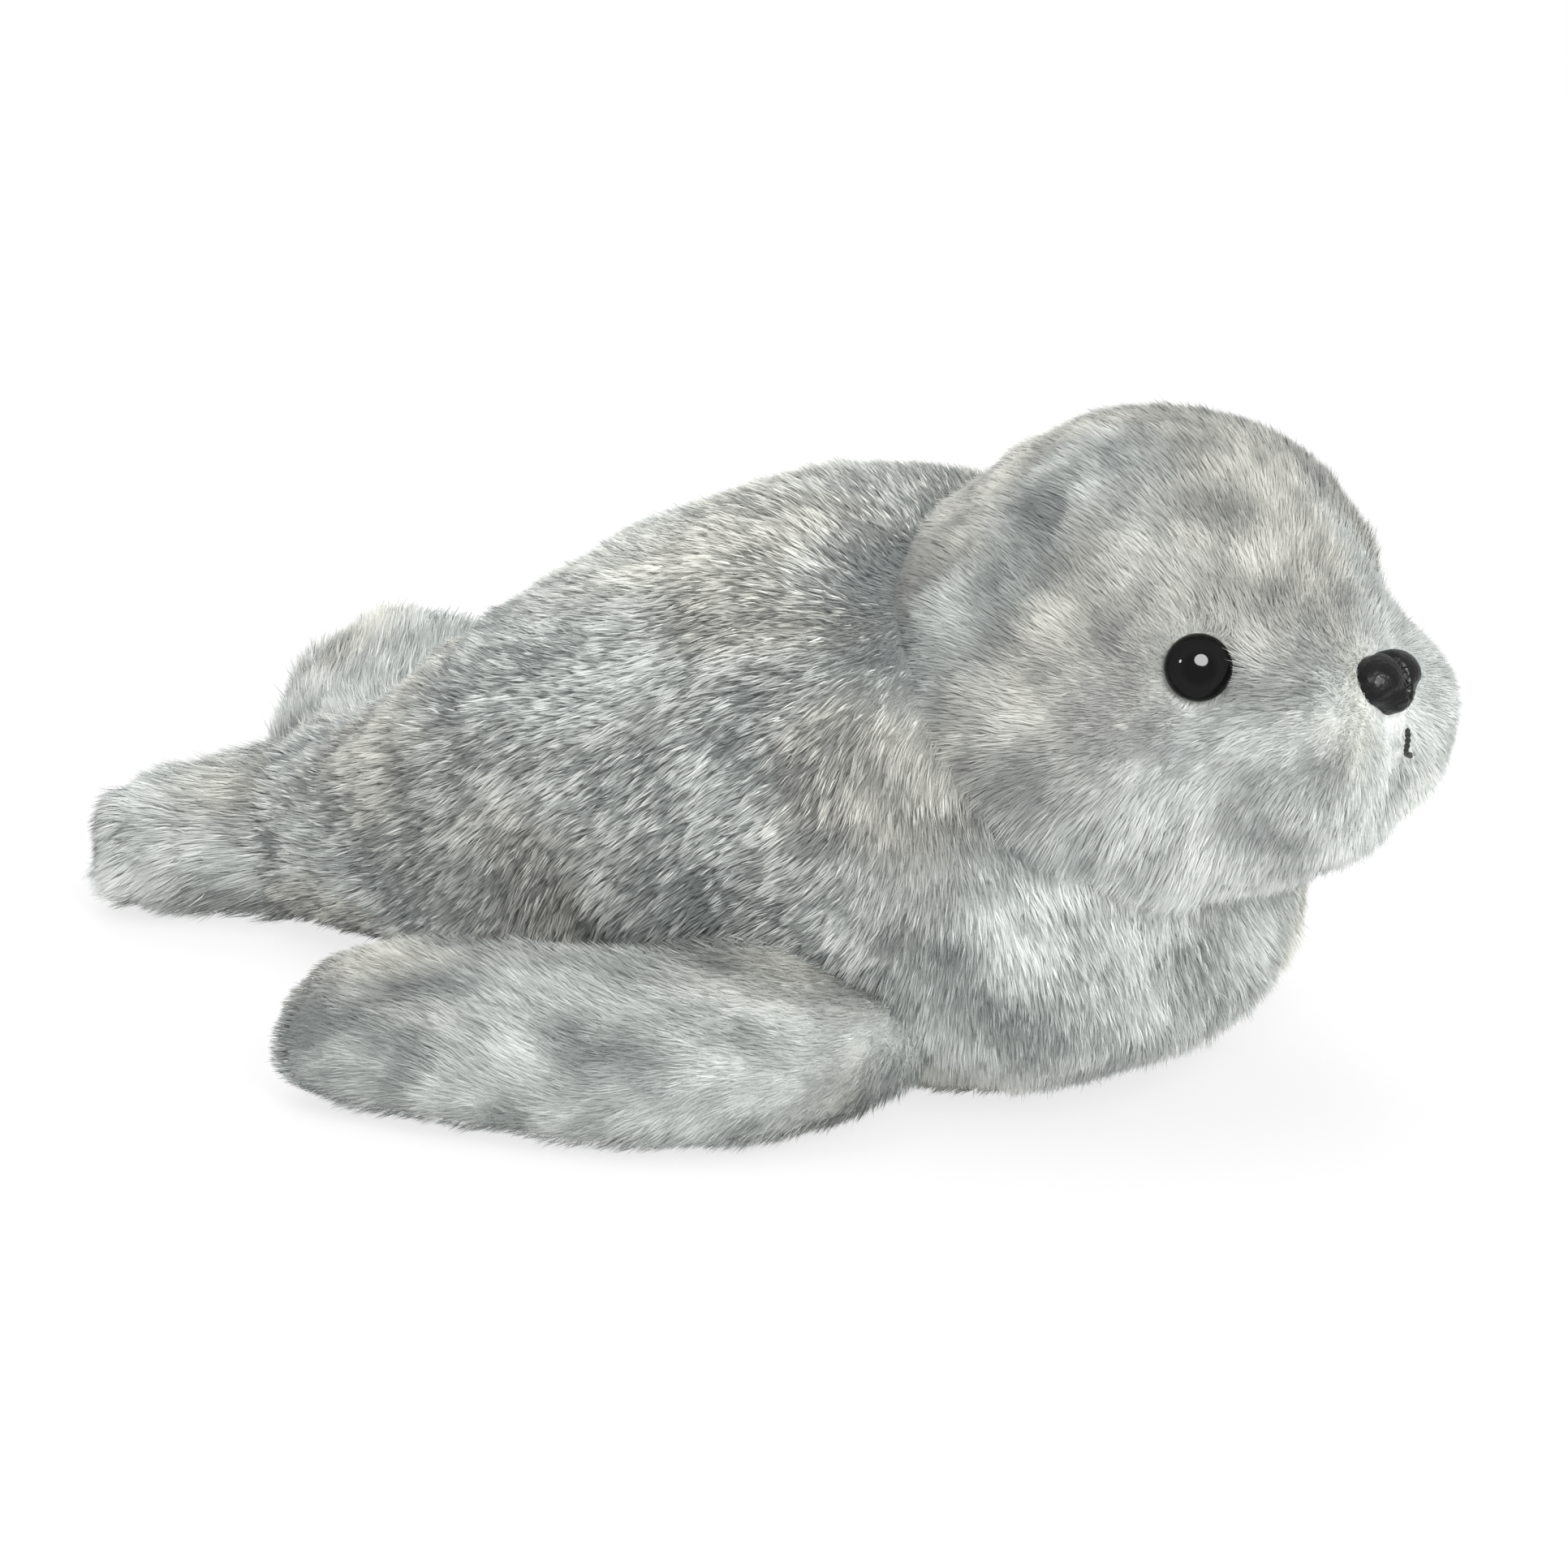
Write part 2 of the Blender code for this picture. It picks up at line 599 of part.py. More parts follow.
def build():
    """Make every piece of the seal."""
    clear_scene()
    centre, out = neck_plane()

    # Torso
    half_gap = CLEARANCE / 2
    sheets = []
    for inset in (0.0, COVER_THICKNESS, COVER_THICKNESS + CLEARANCE):
        pole, rings = torso_rings(inset)
        rings[-1] -= out * half_gap
        sheets.append((pole, rings))
    bag("body_cover", sheets[0], sheets[1], material("body_cover", FUR, 0.9))
    plug("body_filling", sheets[2], material("body_filling", FIBRE, 1.0))

    # Head
    outer = head_rings(0.0, half_gap)
    inner = head_rings(COVER_THICKNESS, half_gap)
    core = head_rings(COVER_THICKNESS + CLEARANCE, half_gap)
    head_cover = bag("head_cover", outer, inner, material("head_cover", FUR, 0.9))
    head_filling = plug("head_filling", core, material("head_filling", FIBRE, 1.0))

    # Eyes and nose
    covers = (head_cover, head_filling)
    for side, label in ((1, "left"), (-1, "right")):
        fitting("eye_" + label, surface_frame(EYE_AIM, side), EYE_DIAMETER / 2, EYE_DOME,
                EYE_SEAT_DEPTH, None, covers)
    fitting("nose", surface_frame(NOSE_AIM), NOSE_WIDTH / 2, NOSE_DOME, NOSE_SEAT_DEPTH,
            nose_outline, covers)
    build_mouth()

    # Flippers
    torso = plug("cutter", torso_rings(-CLEARANCE), None)
    for side in (1, -1):
        build_flipper("front_flipper", FRONT_FLIPPER, FRONT_TIP, TORSO_HALF_WIDTH, torso, side)
        hind = HIND_FLIPPER_LEFT if side > 0 else HIND_FLIPPER_RIGHT
        beside = TAIL_SHARE * TORSO_HALF_WIDTH
        build_flipper("hind_flipper", hind, HIND_TIP, beside, torso, side)
    drop(torso)


build()
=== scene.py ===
"""The plush seal's looks: its fur, eyes, nose and mouth, and the floor, lamps and camera.

Laid out as a Blender add-on and run as a script. Every size is in metres, in the frame of the
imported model: +X towards the nose, +Y to the seal's left, +Z up, and the floor at z = 0.
"""
import math

import bpy
import numpy as np
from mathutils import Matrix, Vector


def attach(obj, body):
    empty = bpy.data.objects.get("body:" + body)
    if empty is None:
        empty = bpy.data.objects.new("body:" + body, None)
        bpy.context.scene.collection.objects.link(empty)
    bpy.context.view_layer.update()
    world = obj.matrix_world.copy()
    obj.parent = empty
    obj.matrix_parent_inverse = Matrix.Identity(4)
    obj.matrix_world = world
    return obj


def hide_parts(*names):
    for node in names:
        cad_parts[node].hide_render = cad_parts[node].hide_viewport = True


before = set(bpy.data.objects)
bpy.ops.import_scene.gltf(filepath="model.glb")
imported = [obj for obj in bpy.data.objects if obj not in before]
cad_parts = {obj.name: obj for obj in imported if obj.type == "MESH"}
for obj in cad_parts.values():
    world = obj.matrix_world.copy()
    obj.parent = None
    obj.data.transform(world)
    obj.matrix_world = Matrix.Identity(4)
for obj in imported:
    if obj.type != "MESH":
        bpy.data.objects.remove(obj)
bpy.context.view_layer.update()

bl_info = {
    "name": "Plush seal",
    "version": (1, 0, 0),
    "blender": (4, 5, 0),
    "location": "3D View > Sidebar > Plush seal",
    "description": "Builds the fur, face and studio of a plush seal",
    "category": "Object",
}

MM = 0.001

# The seal's shape, as the part's source gives it
TORSO_LENGTH = 210.0 * MM
TORSO_HALF_WIDTH = 60.0 * MM
BACK_HEIGHT = 112.0 * MM
TAIL_CAP = 8.0 * MM
TORSO_SECTIONS = (
    (-0.590, 0.120, 0.095, 0.105, 0.330, 0.0),
    (-0.505, 0.165, 0.160, 0.162, 0.475, 0.0),
    (-0.390, 0.241, 0.222, 0.250, 0.640, 0.0),
    (-0.248, 0.339, 0.332, 0.353, 0.790, 0.0),
    (-0.095, 0.424, 0.428, 0.446, 0.910, 0.0),
    (0.057, 0.482, 0.482, 0.518, 0.985, 3.0),
    (0.200, 0.545, 0.468, 0.589, 1.000, 15.0),
    (0.317, 0.610, 0.430, 0.615, 0.975, 29.0),
    (0.369, 0.656, 0.412, 0.558, 0.940, 40.0),
    (0.410, 0.710, 0.405, 0.425, 0.880, 50.0),
)
HEAD_BLEND = 4.0 * MM
HEAD_MIDDLE = (14.0, 0.0, 8.5)
CRANIUM = ((11.0, 0.0, 17.5), (41.0, 40.0, 37.0))
MUZZLE = ((37.5, 0.0, 1.0), (22.0, 28.5, 24.0))
WHISKER_PAD = ((51.5, 15.0, 0.5), (12.5, 14.8, 15.5))
JAW = ((39.0, 0.0, -12.5), (18.0, 21.0, 14.0))
CHEEK = ((15.0, 24.0, -1.5), (24.0, 21.0, 22.0))
NECK_DEPTH = 30.0 * MM
EYE_DIAMETER = 12.5 * MM
EYE_DOME = 4.2 * MM
EYE_SEAT_DEPTH = 3.2 * MM
EYE_AIM = (37.5, 27.5, 15.0)
EYE_HOLLOW = 3.0 * MM
EYE_HOLLOW_WIDTH = 13.0 * MM
NOSE_WIDTH = 16.5 * MM
NOSE_HEIGHT = 12.0 * MM
NOSE_DOME = 5.0 * MM
NOSE_SEAT_DEPTH = 3.2 * MM
NOSE_AIM = (64.0, 0.0, 10.5)
POST_DIAMETER = 3.0 * MM
POST_LENGTH = 13.0 * MM
THREAD_DIAMETER = 1.2 * MM
THREAD_LIFT = 0.80 * MM
MOUTH_TOP = 2.8 * MM
MOUTH_FORK = -1.7 * MM
MOUTH_SPREAD = 4.2 * MM
MOUTH_DROP = 1.8 * MM
FRONT_FLIPPER = (
    (0.262, -26.0, 27.0, 23.0, 14.0, 20.0),
    (0.248, -4.0, 19.5, 24.0, 15.0, 22.0),
    (0.162, 14.5, 16.5, 23.5, 13.8, 25.0),
    (0.038, 23.5, 15.5, 22.5, 12.8, 25.0),
    (-0.075, 29.5, 14.8, 21.0, 12.2, 24.0),
    (-0.128, 31.5, 14.0, 19.0, 11.5, 22.0),
)
FRONT_TIP = 10.5 * MM
TAIL_SHARE = 0.42
HIND_FLIPPER_RIGHT = (
    (-0.471, -22.0, 16.5, 13.5, 12.0, 0.0),
    (-0.543, -10.5, 15.2, 16.5, 14.0, 0.0),
    (-0.602, 0.5, 14.2, 17.0, 14.0, 0.0),
    (-0.640, 7.5, 13.2, 15.5, 13.0, 0.0),
)
HIND_FLIPPER_LEFT = (
    (-0.490, -21.0, 18.0, 13.5, 11.0, 0.0),
    (-0.567, -4.0, 22.5, 19.0, 12.0, 0.0),
    (-0.622, 17.5, 28.5, 22.5, 12.0, 0.0),
    (-0.643, 31.5, 33.5, 19.5, 11.5, 0.0),
)
HIND_TIP = 8.0 * MM
# Each flipper's kind and label, then its rows, tip, distance from the middle plane and side
FLIPPERS = (
    ("front", "left", (FRONT_FLIPPER, FRONT_TIP, TORSO_HALF_WIDTH, 1)),
    ("hind", "left", (HIND_FLIPPER_LEFT, HIND_TIP, TAIL_SHARE * TORSO_HALF_WIDTH, 1)),
    ("front", "right", (FRONT_FLIPPER, FRONT_TIP, TORSO_HALF_WIDTH, -1)),
    ("hind", "right", (HIND_FLIPPER_RIGHT, HIND_TIP, TAIL_SHARE * TORSO_HALF_WIDTH, -1)),
)

# The dense underfur: how deep its face lies under the hair's tips, and how thick it is
BODY_DEPTH = 2.5 * MM
HEAD_DEPTH = 1.8 * MM
FRONT_DEPTH = 1.9 * MM
HIND_DEPTH = 2.6 * MM
UNDERFUR = 2.3 * MM
# Beside the lower neck seam its face rises to these depths, so that the head's edge hangs over
BODY_FOLD = 0.9 * MM
HEAD_FOLD = -0.9 * MM
FOLD_WIDTH = 13.0 * MM
# How high up its side the neck seam begins to show, and shows fully, in shape and painted shadow
SEAM_SHOWS = (0.072, 0.092)
# The size of the fillet where the hind flippers leave the tail, and how near it is looked for
FILLET = 6.5 * MM
FILLET_REACH = 25.0 * MM
FILLING_DEPTH = 8.0 * MM
LUMP = 0.5 * MM
# The cloth bulges over the nose's washer by a round hill
NOSE_BULGE = 0.4 * MM
NOSE_BULGE_WIDTH = 9.0 * MM
# The fur's tips draw the eyes and the nose in a little
EYE_SUNK = 0.5 * MM
EYE_RAISED = 0.8 * MM
NOSE_SUNK = 0.8 * MM
NOSE_RAISED = 0.8 * MM
NOSE_RADIUS = 7.8 * MM
DOME_FULLNESS = 2.2
# Hair is left out as near as this to the eyes' axes, the nose's edge and the mouth's thread
EYE_CLEAR = 0.46 * EYE_DIAMETER
NOSE_CLEAR = -0.6 * MM
MOUTH_CLEAR = 0.95 * MM
# The mouth's fork lies a little to the right, and of its left and right arm this share is in sight
FORK_ASIDE = -0.8 * MM
MOUTH_SHOWN = np.array([[0.80], [0.06]])
STITCH_BOW = -0.4 * MM
ARM_SINK = 0.9 * MM
THREAD_TWIST = 2.0 * MM

# Blades of each cover's pile, and the most in one piece; a blade has two triangles
BLADES = {"body": 190000, "head": 120000, "front": 43000, "hind": 18000}
MAX_BLADES = 98500
SEEDS = {"body": 21, "head": 22, "flippers": 31}
# Rings and sides of the underfur's grids, and of the grids on which the hair's roots are sown
SHELL = (72, 80)
FLIPPER_SHELL = (32, 40)
BODY_ROOTS = (110, 112)
HEAD_ROOTS = (100, 112)
FLIPPER_ROOTS = (60, 64)
# Where along its length a blade is widest, a wisp's size in its lock, and the share of stray hairs
WIDEST = 0.42
WISP = 0.36
STRAYS = 0.05
# How far the dye's pattern is drawn out along the hair
STREAK = 0.45
# The pile swells and thins in waves of this length; painted shade follows them, darker where it
# thins
SWELL_LENGTH = 0.015
SWELL_SEED = 12
SWELL_SHADE = 0.22
# The underfur is coloured as a hair is at this share of its length, painted shade of the roots
# included
UNDERFUR_PILE = 0.38
# Hair is pressed flat and short as near to the floor as this
PRESSED = 0.6 * MM
PRESSED_LENGTH = 0.6
PRESSED_RISE = 0.3
# Hair is left out where it lies this deep under another cover; how near that cover is looked for
HIDDEN = 2.6 * MM
HIDDEN_REACH = 20.0 * MM
TORSO_REACH = 80.0 * MM
# Angles between hair and cloth, in radians
RISE = 0.98
FRONT_RISE = 0.95
HIND_RISE = 0.75
# Where along X the chest begins and is full, and where the tail is full and ends
CHEST = (0.045, 0.085)
TAIL = (-0.125, -0.095)
HEAD_SOFT = 0.8
FRONT_SOFT = 0.85
HIND_SOFT = 0.5
# The coat's lightness by region: place, width, and how much paler (above 0) or darker (below 0)
# It is partly dye and partly painted light and shade, set by how each region lies to the light
DYE_AND_SHADE_BLOBS = (
    (0.146, 0.000, 0.073, 0.027, 0.48),
    (0.115, 0.006, 0.124, 0.030, -0.20),
    (0.104, 0.043, 0.079, 0.022, -0.18),
    (0.104, 0.024, 0.028, 0.032, 0.20),
    (0.086, 0.036, 0.044, 0.014, -0.12),
    (0.012, 0.038, 0.083, 0.034, 0.37),
    (0.014, 0.010, 0.106, 0.022, -0.12),
    (0.025, 0.054, 0.050, 0.026, -0.32),
    (-0.067, 0.038, 0.030, 0.034, -0.15),
    (-0.102, 0.030, 0.017, 0.014, 0.26),
    (0.060, 0.080, 0.022, 0.028, 0.05),
    (-0.014, 0.097, 0.017, 0.028, -0.26),
    # Painted shadow in the crease behind the head's upper edge
    (0.057, 0.035, 0.102, 0.017, -0.54),
    (-0.130, 0.056, 0.030, 0.030, 0.14),
)

CAMERA_AIM = (0.008, 0.0, 0.045)
CAMERA_AZIMUTH = 37.6
CAMERA_ELEVATION = 17.0
CAMERA_DISTANCE = 1.3
CAMERA_LENS = 152.0
SENSOR_WIDTH = 36.0
FLOOR_RADIUS = 6.0
FLOOR_SIDES = 64
# Two lamps show in gloss alone, as the eyes' catch lights, and the others never do
CATCH_LIGHTS = {"eye_lamp": 30.0, "glint_lamp": 4.0}


def linear(code):
    """An sRGB hex colour as linear red, green and blue."""
    value = [int(code[i:i + 2], 16) / 255 for i in (1, 3, 5)]
    return tuple(v / 12.92 if v <= 0.04045 else ((v + 0.055) / 1.055) ** 2.4 for v in value)


def rgba(colour):
    """A colour of three numbers with full alpha."""
    return (colour[0], colour[1], colour[2], 1.0)


# ---------------------------------------------------------------- shapes


def unit(v):
    """Vectors of length one."""
    return v / np.maximum(np.linalg.norm(v, axis=-1, keepdims=True), 1e-12)


def soft_step(value, low, high):
    """0 below low, 1 above high, and a smooth rise between them."""
    t = np.clip((value - low) / (high - low), 0.0, 1.0)
    return t * t * (3 - 2 * t)


def cubic(rows, t):
    """Read the rows as a smooth curve at t: 0 is the first row, 1 the last.

    Between two rows each number follows the cubic that has both rows' values and slopes.
    """
    rows = np.asarray(rows, float)
    slope = np.gradient(rows, axis=0)
    place = np.clip(t, 0.0, 1.0) * (len(rows) - 1)
    i = np.minimum(place.astype(int), len(rows) - 2)
    f = (place - i)[:, None]
    h00 = 2 * f**3 - 3 * f**2 + 1
    h10 = f**3 - 2 * f**2 + f
    h01 = -2 * f**3 + 3 * f**2
    h11 = f**3 - f**2
    return h00 * rows[i] + h10 * slope[i] + h01 * rows[i + 1] + h11 * slope[i + 1]


def section_outline(sides, power, power_below):
    """Sideways and upward shares round a section: cosine and sine, each raised to 2/power."""
    angle = np.linspace(0.0, 2 * math.pi, sides, endpoint=False)
    c, s = np.cos(angle), np.sin(angle)
    share = 2 / np.where(s < 0, power_below, power)
    return np.sign(c) * np.abs(c) ** share, np.sign(s) * np.abs(s) ** share


def torso_grid(rings, sides, inset):
    """The torso as a grid from the tail's pole to the neck seam, on the surface inset inside it.

    Each ring is a rounded section, as wide and as high as the table says there, tilted backwards
    towards the neck, where its lower half narrows to the head's own outline. The tail is closed by
    a quarter round.
    """
    t = np.linspace(0.0, 1.0, rings)
    row = cubic(TORSO_SECTIONS, t)
    narrow = soft_step(t, 0.80, 1.0)
    across, up = section_outline(sides, 2.1, (2.7 - 0.7 * narrow)[:, None])
    tilt = np.radians(row[:, 5])
    centre = np.stack([row[:, 0] * TORSO_LENGTH, 0 * t, row[:, 1] * BACK_HEIGHT], 1)
    upward = np.stack([-np.sin(tilt), 0 * t, np.cos(tilt)], 1)
    high = row[:, 2] * BACK_HEIGHT - inset
    low = row[:, 3] * BACK_HEIGHT - inset
    low += (high - low) * narrow
    wide = row[:, 4] * TORSO_HALF_WIDTH - inset
    size = np.where(up > 0, high[:, None], low[:, None]) * up
    grid = centre[:, None, :] + upward[:, None, :] * size[:, :, None]
    grid[:, :, 1] += wide[:, None] * across
    bend = np.linspace(math.pi / 2, 0.0, 9)[:-1, None, None]
    cap = centre[0] + (grid[0] - centre[0]) * np.cos(bend)
    cap[:, :, 0] -= (TAIL_CAP - inset) * np.sin(bend[:, :, 0])
    grid = np.concatenate([cap, grid])
    grid[:, :, 2] = np.maximum(grid[:, :, 2], inset)
    return grid


def neck_plane():
    """The middle of the neck seam and the direction that points out of the torso there."""
    row = TORSO_SECTIONS[-1]
    tilt = math.radians(row[5])
    centre = np.array([row[0] * TORSO_LENGTH, 0.0, row[1] * BACK_HEIGHT])
    return centre, np.array([math.cos(tilt), 0.0, math.sin(tilt)])


def flipper_grid(rows, tip, beside, side, inset, rings, sides):
    """A flipper as a grid from its tip's pole to its root, on the surface inset inside it.

    Each ring is a rounded section square to the flipper's line, turned about it by the lean, and
    the tip is a quarter round.
    """
    t = np.linspace(0.0, 1.0, rings)
    row = cubic(rows, t) * np.array([TORSO_LENGTH, MM, MM, MM, MM, 1.0])
    row[:, 1] += beside
    line = row[:, :3] * np.array([1.0, side, 1.0])
    run = unit(np.gradient(line, axis=0))
    chord = unit(np.cross(run, np.array([0.0, 0.0, 1.0])))
    thick = np.cross(chord, run)
    lean = side * np.radians(row[:, 5])[:, None]
    chord, thick = (chord * np.cos(lean) - thick * np.sin(lean),
                    thick * np.cos(lean) + chord * np.sin(lean))
    across, up = section_outline(sides, 2.2, 2.2)
    wide = (row[:, 3] - inset)[:, None, None] * across[None, :, None]
    high = (row[:, 4] - inset)[:, None, None] * up[None, :, None]
    grid = line[:, None, :] + chord[:, None, :] * wide + thick[:, None, :] * high
    bend = np.linspace(0.0, math.pi / 2, 10)[1:, None, None]
    cap = line[-1] + (grid[-1] - line[-1]) * np.cos(bend) + run[-1] * (tip - inset) * np.sin(bend)
    grid = np.concatenate([grid, cap])[::-1]
    grid[:, :, 2] = np.maximum(grid[:, :, 2], inset)
    return grid


def from_neck(offset, side=1):
    """The place of an offset in mm from the middle of the neck seam; side -1 mirrors it."""
    return neck_plane()[0] + np.array(offset) * MM * np.array([1.0, side, 1.0])


def head_distance(p):
    """How far points lie outside the head, roughly: negative inside it.

    The head is five kinds of ellipsoid and the neck's, joined by a smooth minimum, with a shallow
    hollow at each eye.
    """
    parts = []
    for middle, half in (CRANIUM, MUZZLE, WHISKER_PAD, JAW, CHEEK):
        for side in ((1, -1) if middle[1] else (1,)):
            h = np.array(half) * MM
            q = np.linalg.norm((p - from_neck(middle, side)) / h, axis=-1)
            parts.append((q - 1.0) * h.min())
    centre, out = neck_plane()
    row = TORSO_SECTIONS[-1]
    upward = np.array([-out[2], 0.0, out[0]])
    d = p - centre
    q = np.stack([
        d @ out / NECK_DEPTH,
        d[..., 1] / (row[4] * TORSO_HALF_WIDTH),
        d @ upward / (row[2] * BACK_HEIGHT),
    ], -1)
    parts.append((np.linalg.norm(q, axis=-1) - 1.0) * NECK_DEPTH)
    hollow = np.zeros(p.shape[:-1])
    for side in (1, -1):
        away = np.linalg.norm(p - from_neck(EYE_AIM, side), axis=-1)
        hollow += EYE_HOLLOW * np.exp(-((away / EYE_HOLLOW_WIDTH) ** 2))
    parts = np.array(parts)
    low = np.min(parts, axis=0)
    return low - HEAD_BLEND * np.log(np.sum(np.exp((low - parts) / HEAD_BLEND), axis=0)) + hollow


def last_inside(inside, near, far, steps):
    """The last places from near to far where inside holds, found by halving the span each step."""
    for _ in range(steps):
        mid = (near + far) / 2
        held = inside(mid)
        near = np.where(held, mid, near)
        far = np.where(held, far, mid)
    return near


def head_point(direction, inset):
    """Where rays from the head's middle leave the surface that lies inset inside the head.

    Inside the head the surface bulges over the nose's washer, by a round hill.
    """
    origin = from_neck(HEAD_MIDDLE)
    nose = from_neck(NOSE_AIM)

    def inside(reach):
        place = origin + direction * reach[..., None]
        away = np.linalg.norm(place - nose, axis=-1)
        hill = NOSE_BULGE * np.exp(-((away / NOSE_BULGE_WIDTH) ** 2)) * (inset > 0.0)
        return head_distance(place) < hill - inset

    start = np.zeros(direction.shape[:-1])
    return origin + direction * last_inside(inside, start, start + 0.14, 28)[..., None]


def head_grid(rings, sides, inset):
    """The head as a grid from its crown's pole to the neck seam, on the surface inset inside it.

    Rays fan out from the head's middle, from the neck's own direction to the plane of the seam.
    """
    centre, out = neck_plane()
    upward = np.array([-out[2], 0.0, out[0]])
    across = np.array([0.0, 1.0, 0.0])
    turn = np.linspace(0.0, 2 * math.pi, sides, endpoint=False)
    sideways = across * np.cos(turn)[:, None] + upward * np.sin(turn)[:, None]

    def fan(angle):
        ray = out * np.cos(angle)[..., None] + sideways * np.sin(angle)[..., None]
        return head_point(ray, inset)

    edge = last_inside(lambda angle: (fan(angle) - centre) @ out > 0.15 * MM,
                       np.full(sides, 0.2), np.full(sides, 3.0), 24)
    return fan(np.linspace(0.0, 1.0, rings)[:, None] * edge)


def grid_normals(grid):
    """Outward directions at a grid's points, square to the two ways that the grid runs."""
    along = np.gradient(grid, axis=0)
    around = np.roll(grid, -1, axis=1) - np.roll(grid, 1, axis=1)
    n = unit(np.cross(around, along))
    middle = grid.mean(axis=1, keepdims=True)
    n *= np.sign(np.mean(np.sum(n[2:-2] * (grid - middle)[2:-2], -1)))
    n[0] = unit(n[1].mean(axis=0))
    return n


def surface_frame(aim, side=1):
    """A place on the head in the direction of aim, with its outward, sideways and upward axes."""
    origin = from_neck(HEAD_MIDDLE)
    ray = unit(from_neck(aim, side) - origin)
    point = head_point(ray[None], 0.0)[0]
    out = unit(np.array([
        head_distance(point + MM * axis) - head_distance(point - MM * axis) for axis in np.eye(3)
    ]))
    across = unit(np.cross(np.array([0.0, 0.0, 1.0]), out))
    return point, out, across, np.cross(out, across)


def seated(place, sunk, raised):
    """A place on the head moved inwards by sunk and up by raised."""
    point, out, across, up = place
    return point - out * sunk + up * raised, out, across, up


def front_of_head(yz, lift):
    """Points straight ahead on the muzzle at the given y and z, moved forward by lift."""
    start = np.full(len(yz), from_neck(HEAD_MIDDLE)[0])
    edge = last_inside(lambda x: head_distance(np.column_stack([x, yz])) < 0.0,
                       start, start + 0.1, 30)
    return np.column_stack([edge + lift, yz])


# ---------------------------------------------------------------- meshes


def sheet_triangles(rings, sides, start=0):
    """Triangles of a sheet of rings round a pole: the pole is point start, the rings follow it."""
    j = np.arange(sides)
    k = (j + 1) % sides
    fan = np.stack([np.full(sides, start), start + 1 + j, start + 1 + k], -1)
    a = start + 1 + np.arange(rings - 1)[:, None] * sides
    low, high = a + sides, a
    left = np.stack([high + j, low + j, low + k], -1).reshape(-1, 3)
    right = np.stack([high + j, low + k, high + k], -1).reshape(-1, 3)
    return np.concatenate([fan, left, right])


def closed_triangles(rings, sides):
    """Triangles of a closed body: a sheet of rings from its first pole, closed by a last pole."""
    last = 1 + (rings - 1) * sides
    j = np.arange(sides)
    foot = np.stack([last + j, np.full(sides, last + sides), last + (j + 1) % sides], -1)
    return np.concatenate([sheet_triangles(rings, sides), foot])


def outward(points, faces):
    """A closed mesh's faces turned to point outwards, so that the volume inside them is above 0."""
    a, b, c = (points[faces[:, i]] for i in range(3))
    return faces if np.sum(a * np.cross(b, c)) > 0 else faces[:, ::-1]


def closed_body(first, grid, last):
    """Points and outward triangles of a closed body: a pole, a grid of rings and a last pole."""
    points = np.concatenate([[first], grid.reshape(-1, 3), [last]])
    return points, outward(points, closed_triangles(len(grid), grid.shape[1]))


def mesh_object(name, points, faces, finish, normals=None, fields=None, cells=None):
    """A smooth mesh object of triangles, with its finish, normals, fields and bake cells.

    fields are numbers or vectors by point, and cells each point's place in the OFBake map.
    """
    mesh = bpy.data.meshes.new(name)
    mesh.vertices.add(len(points))
    mesh.vertices.foreach_set("co", np.asarray(points, np.float32).ravel())
    mesh.loops.add(faces.size)
    mesh.loops.foreach_set("vertex_index", np.asarray(faces, np.int32).ravel())
    mesh.polygons.add(len(faces))
    mesh.polygons.foreach_set("loop_start", np.arange(0, faces.size, 3, dtype=np.int32))
    mesh.update(calc_edges=True)
    for key, value in (fields or {}).items():
        kind = "FLOAT" if value.ndim == 1 else "FLOAT_VECTOR"
        field = mesh.attributes.new(key, kind, "POINT")
        field.data.foreach_set("value" if kind == "FLOAT" else "vector",
                               np.asarray(value, np.float32).ravel())
    if cells is not None:
        layer = mesh.uv_layers.new(name="OFBake")
        layer.data.foreach_set("uv", np.asarray(cells[faces.ravel()], np.float32).ravel())
    mesh.materials.append(finish)
    mesh.shade_smooth()
    if normals is not None:
        mesh.normals_split_custom_set_from_vertices(np.asarray(normals, np.float32))
    ob = bpy.data.objects.new(name, mesh)
    bpy.context.scene.collection.objects.link(ob)
    return ob


def underfur_shell(name, outer, inner, finish, fields_of):
    """A cover's underfur: two sheets with its thickness between them, joined round the edge."""
    rings, sides = outer.shape[0] - 1, outer.shape[1]
    points = np.concatenate([outer[0, :1], outer[1:].reshape(-1, 3),
                             inner[0, :1], inner[1:].reshape(-1, 3)])
    faces = sheet_triangles(rings, sides)
    half = 1 + rings * sides
    j = np.arange(sides)
    k = (j + 1) % sides
    a = 1 + (rings - 1) * sides
    rim = np.concatenate([np.stack([a + j, a + half + j, a + half + k], -1),
                          np.stack([a + j, a + half + k, a + k], -1)])
    faces = outward(points, np.concatenate([faces, faces[:, ::-1] + half, rim]))
    return mesh_object(name, points, faces, finish, fields=fields_of(points))


# ---------------------------------------------------------------- fur


def mixed(cell, seed):
    """Steady random numbers from 0 to 1 for rows of whole numbers, multiplied and mixed."""
    h = cell[..., 0] * 73856093 ^ cell[..., 1] * 19349663 ^ cell[..., 2] * 83492791 ^ seed * 2654435
    h = (h ^ (h >> 15)) * 2246822519 & 0xFFFFFFFF
    h = (h ^ (h >> 13)) * 3266489917 & 0xFFFFFFFF
    return ((h ^ (h >> 16)) & 0xFFFFFF) / 0xFFFFFF


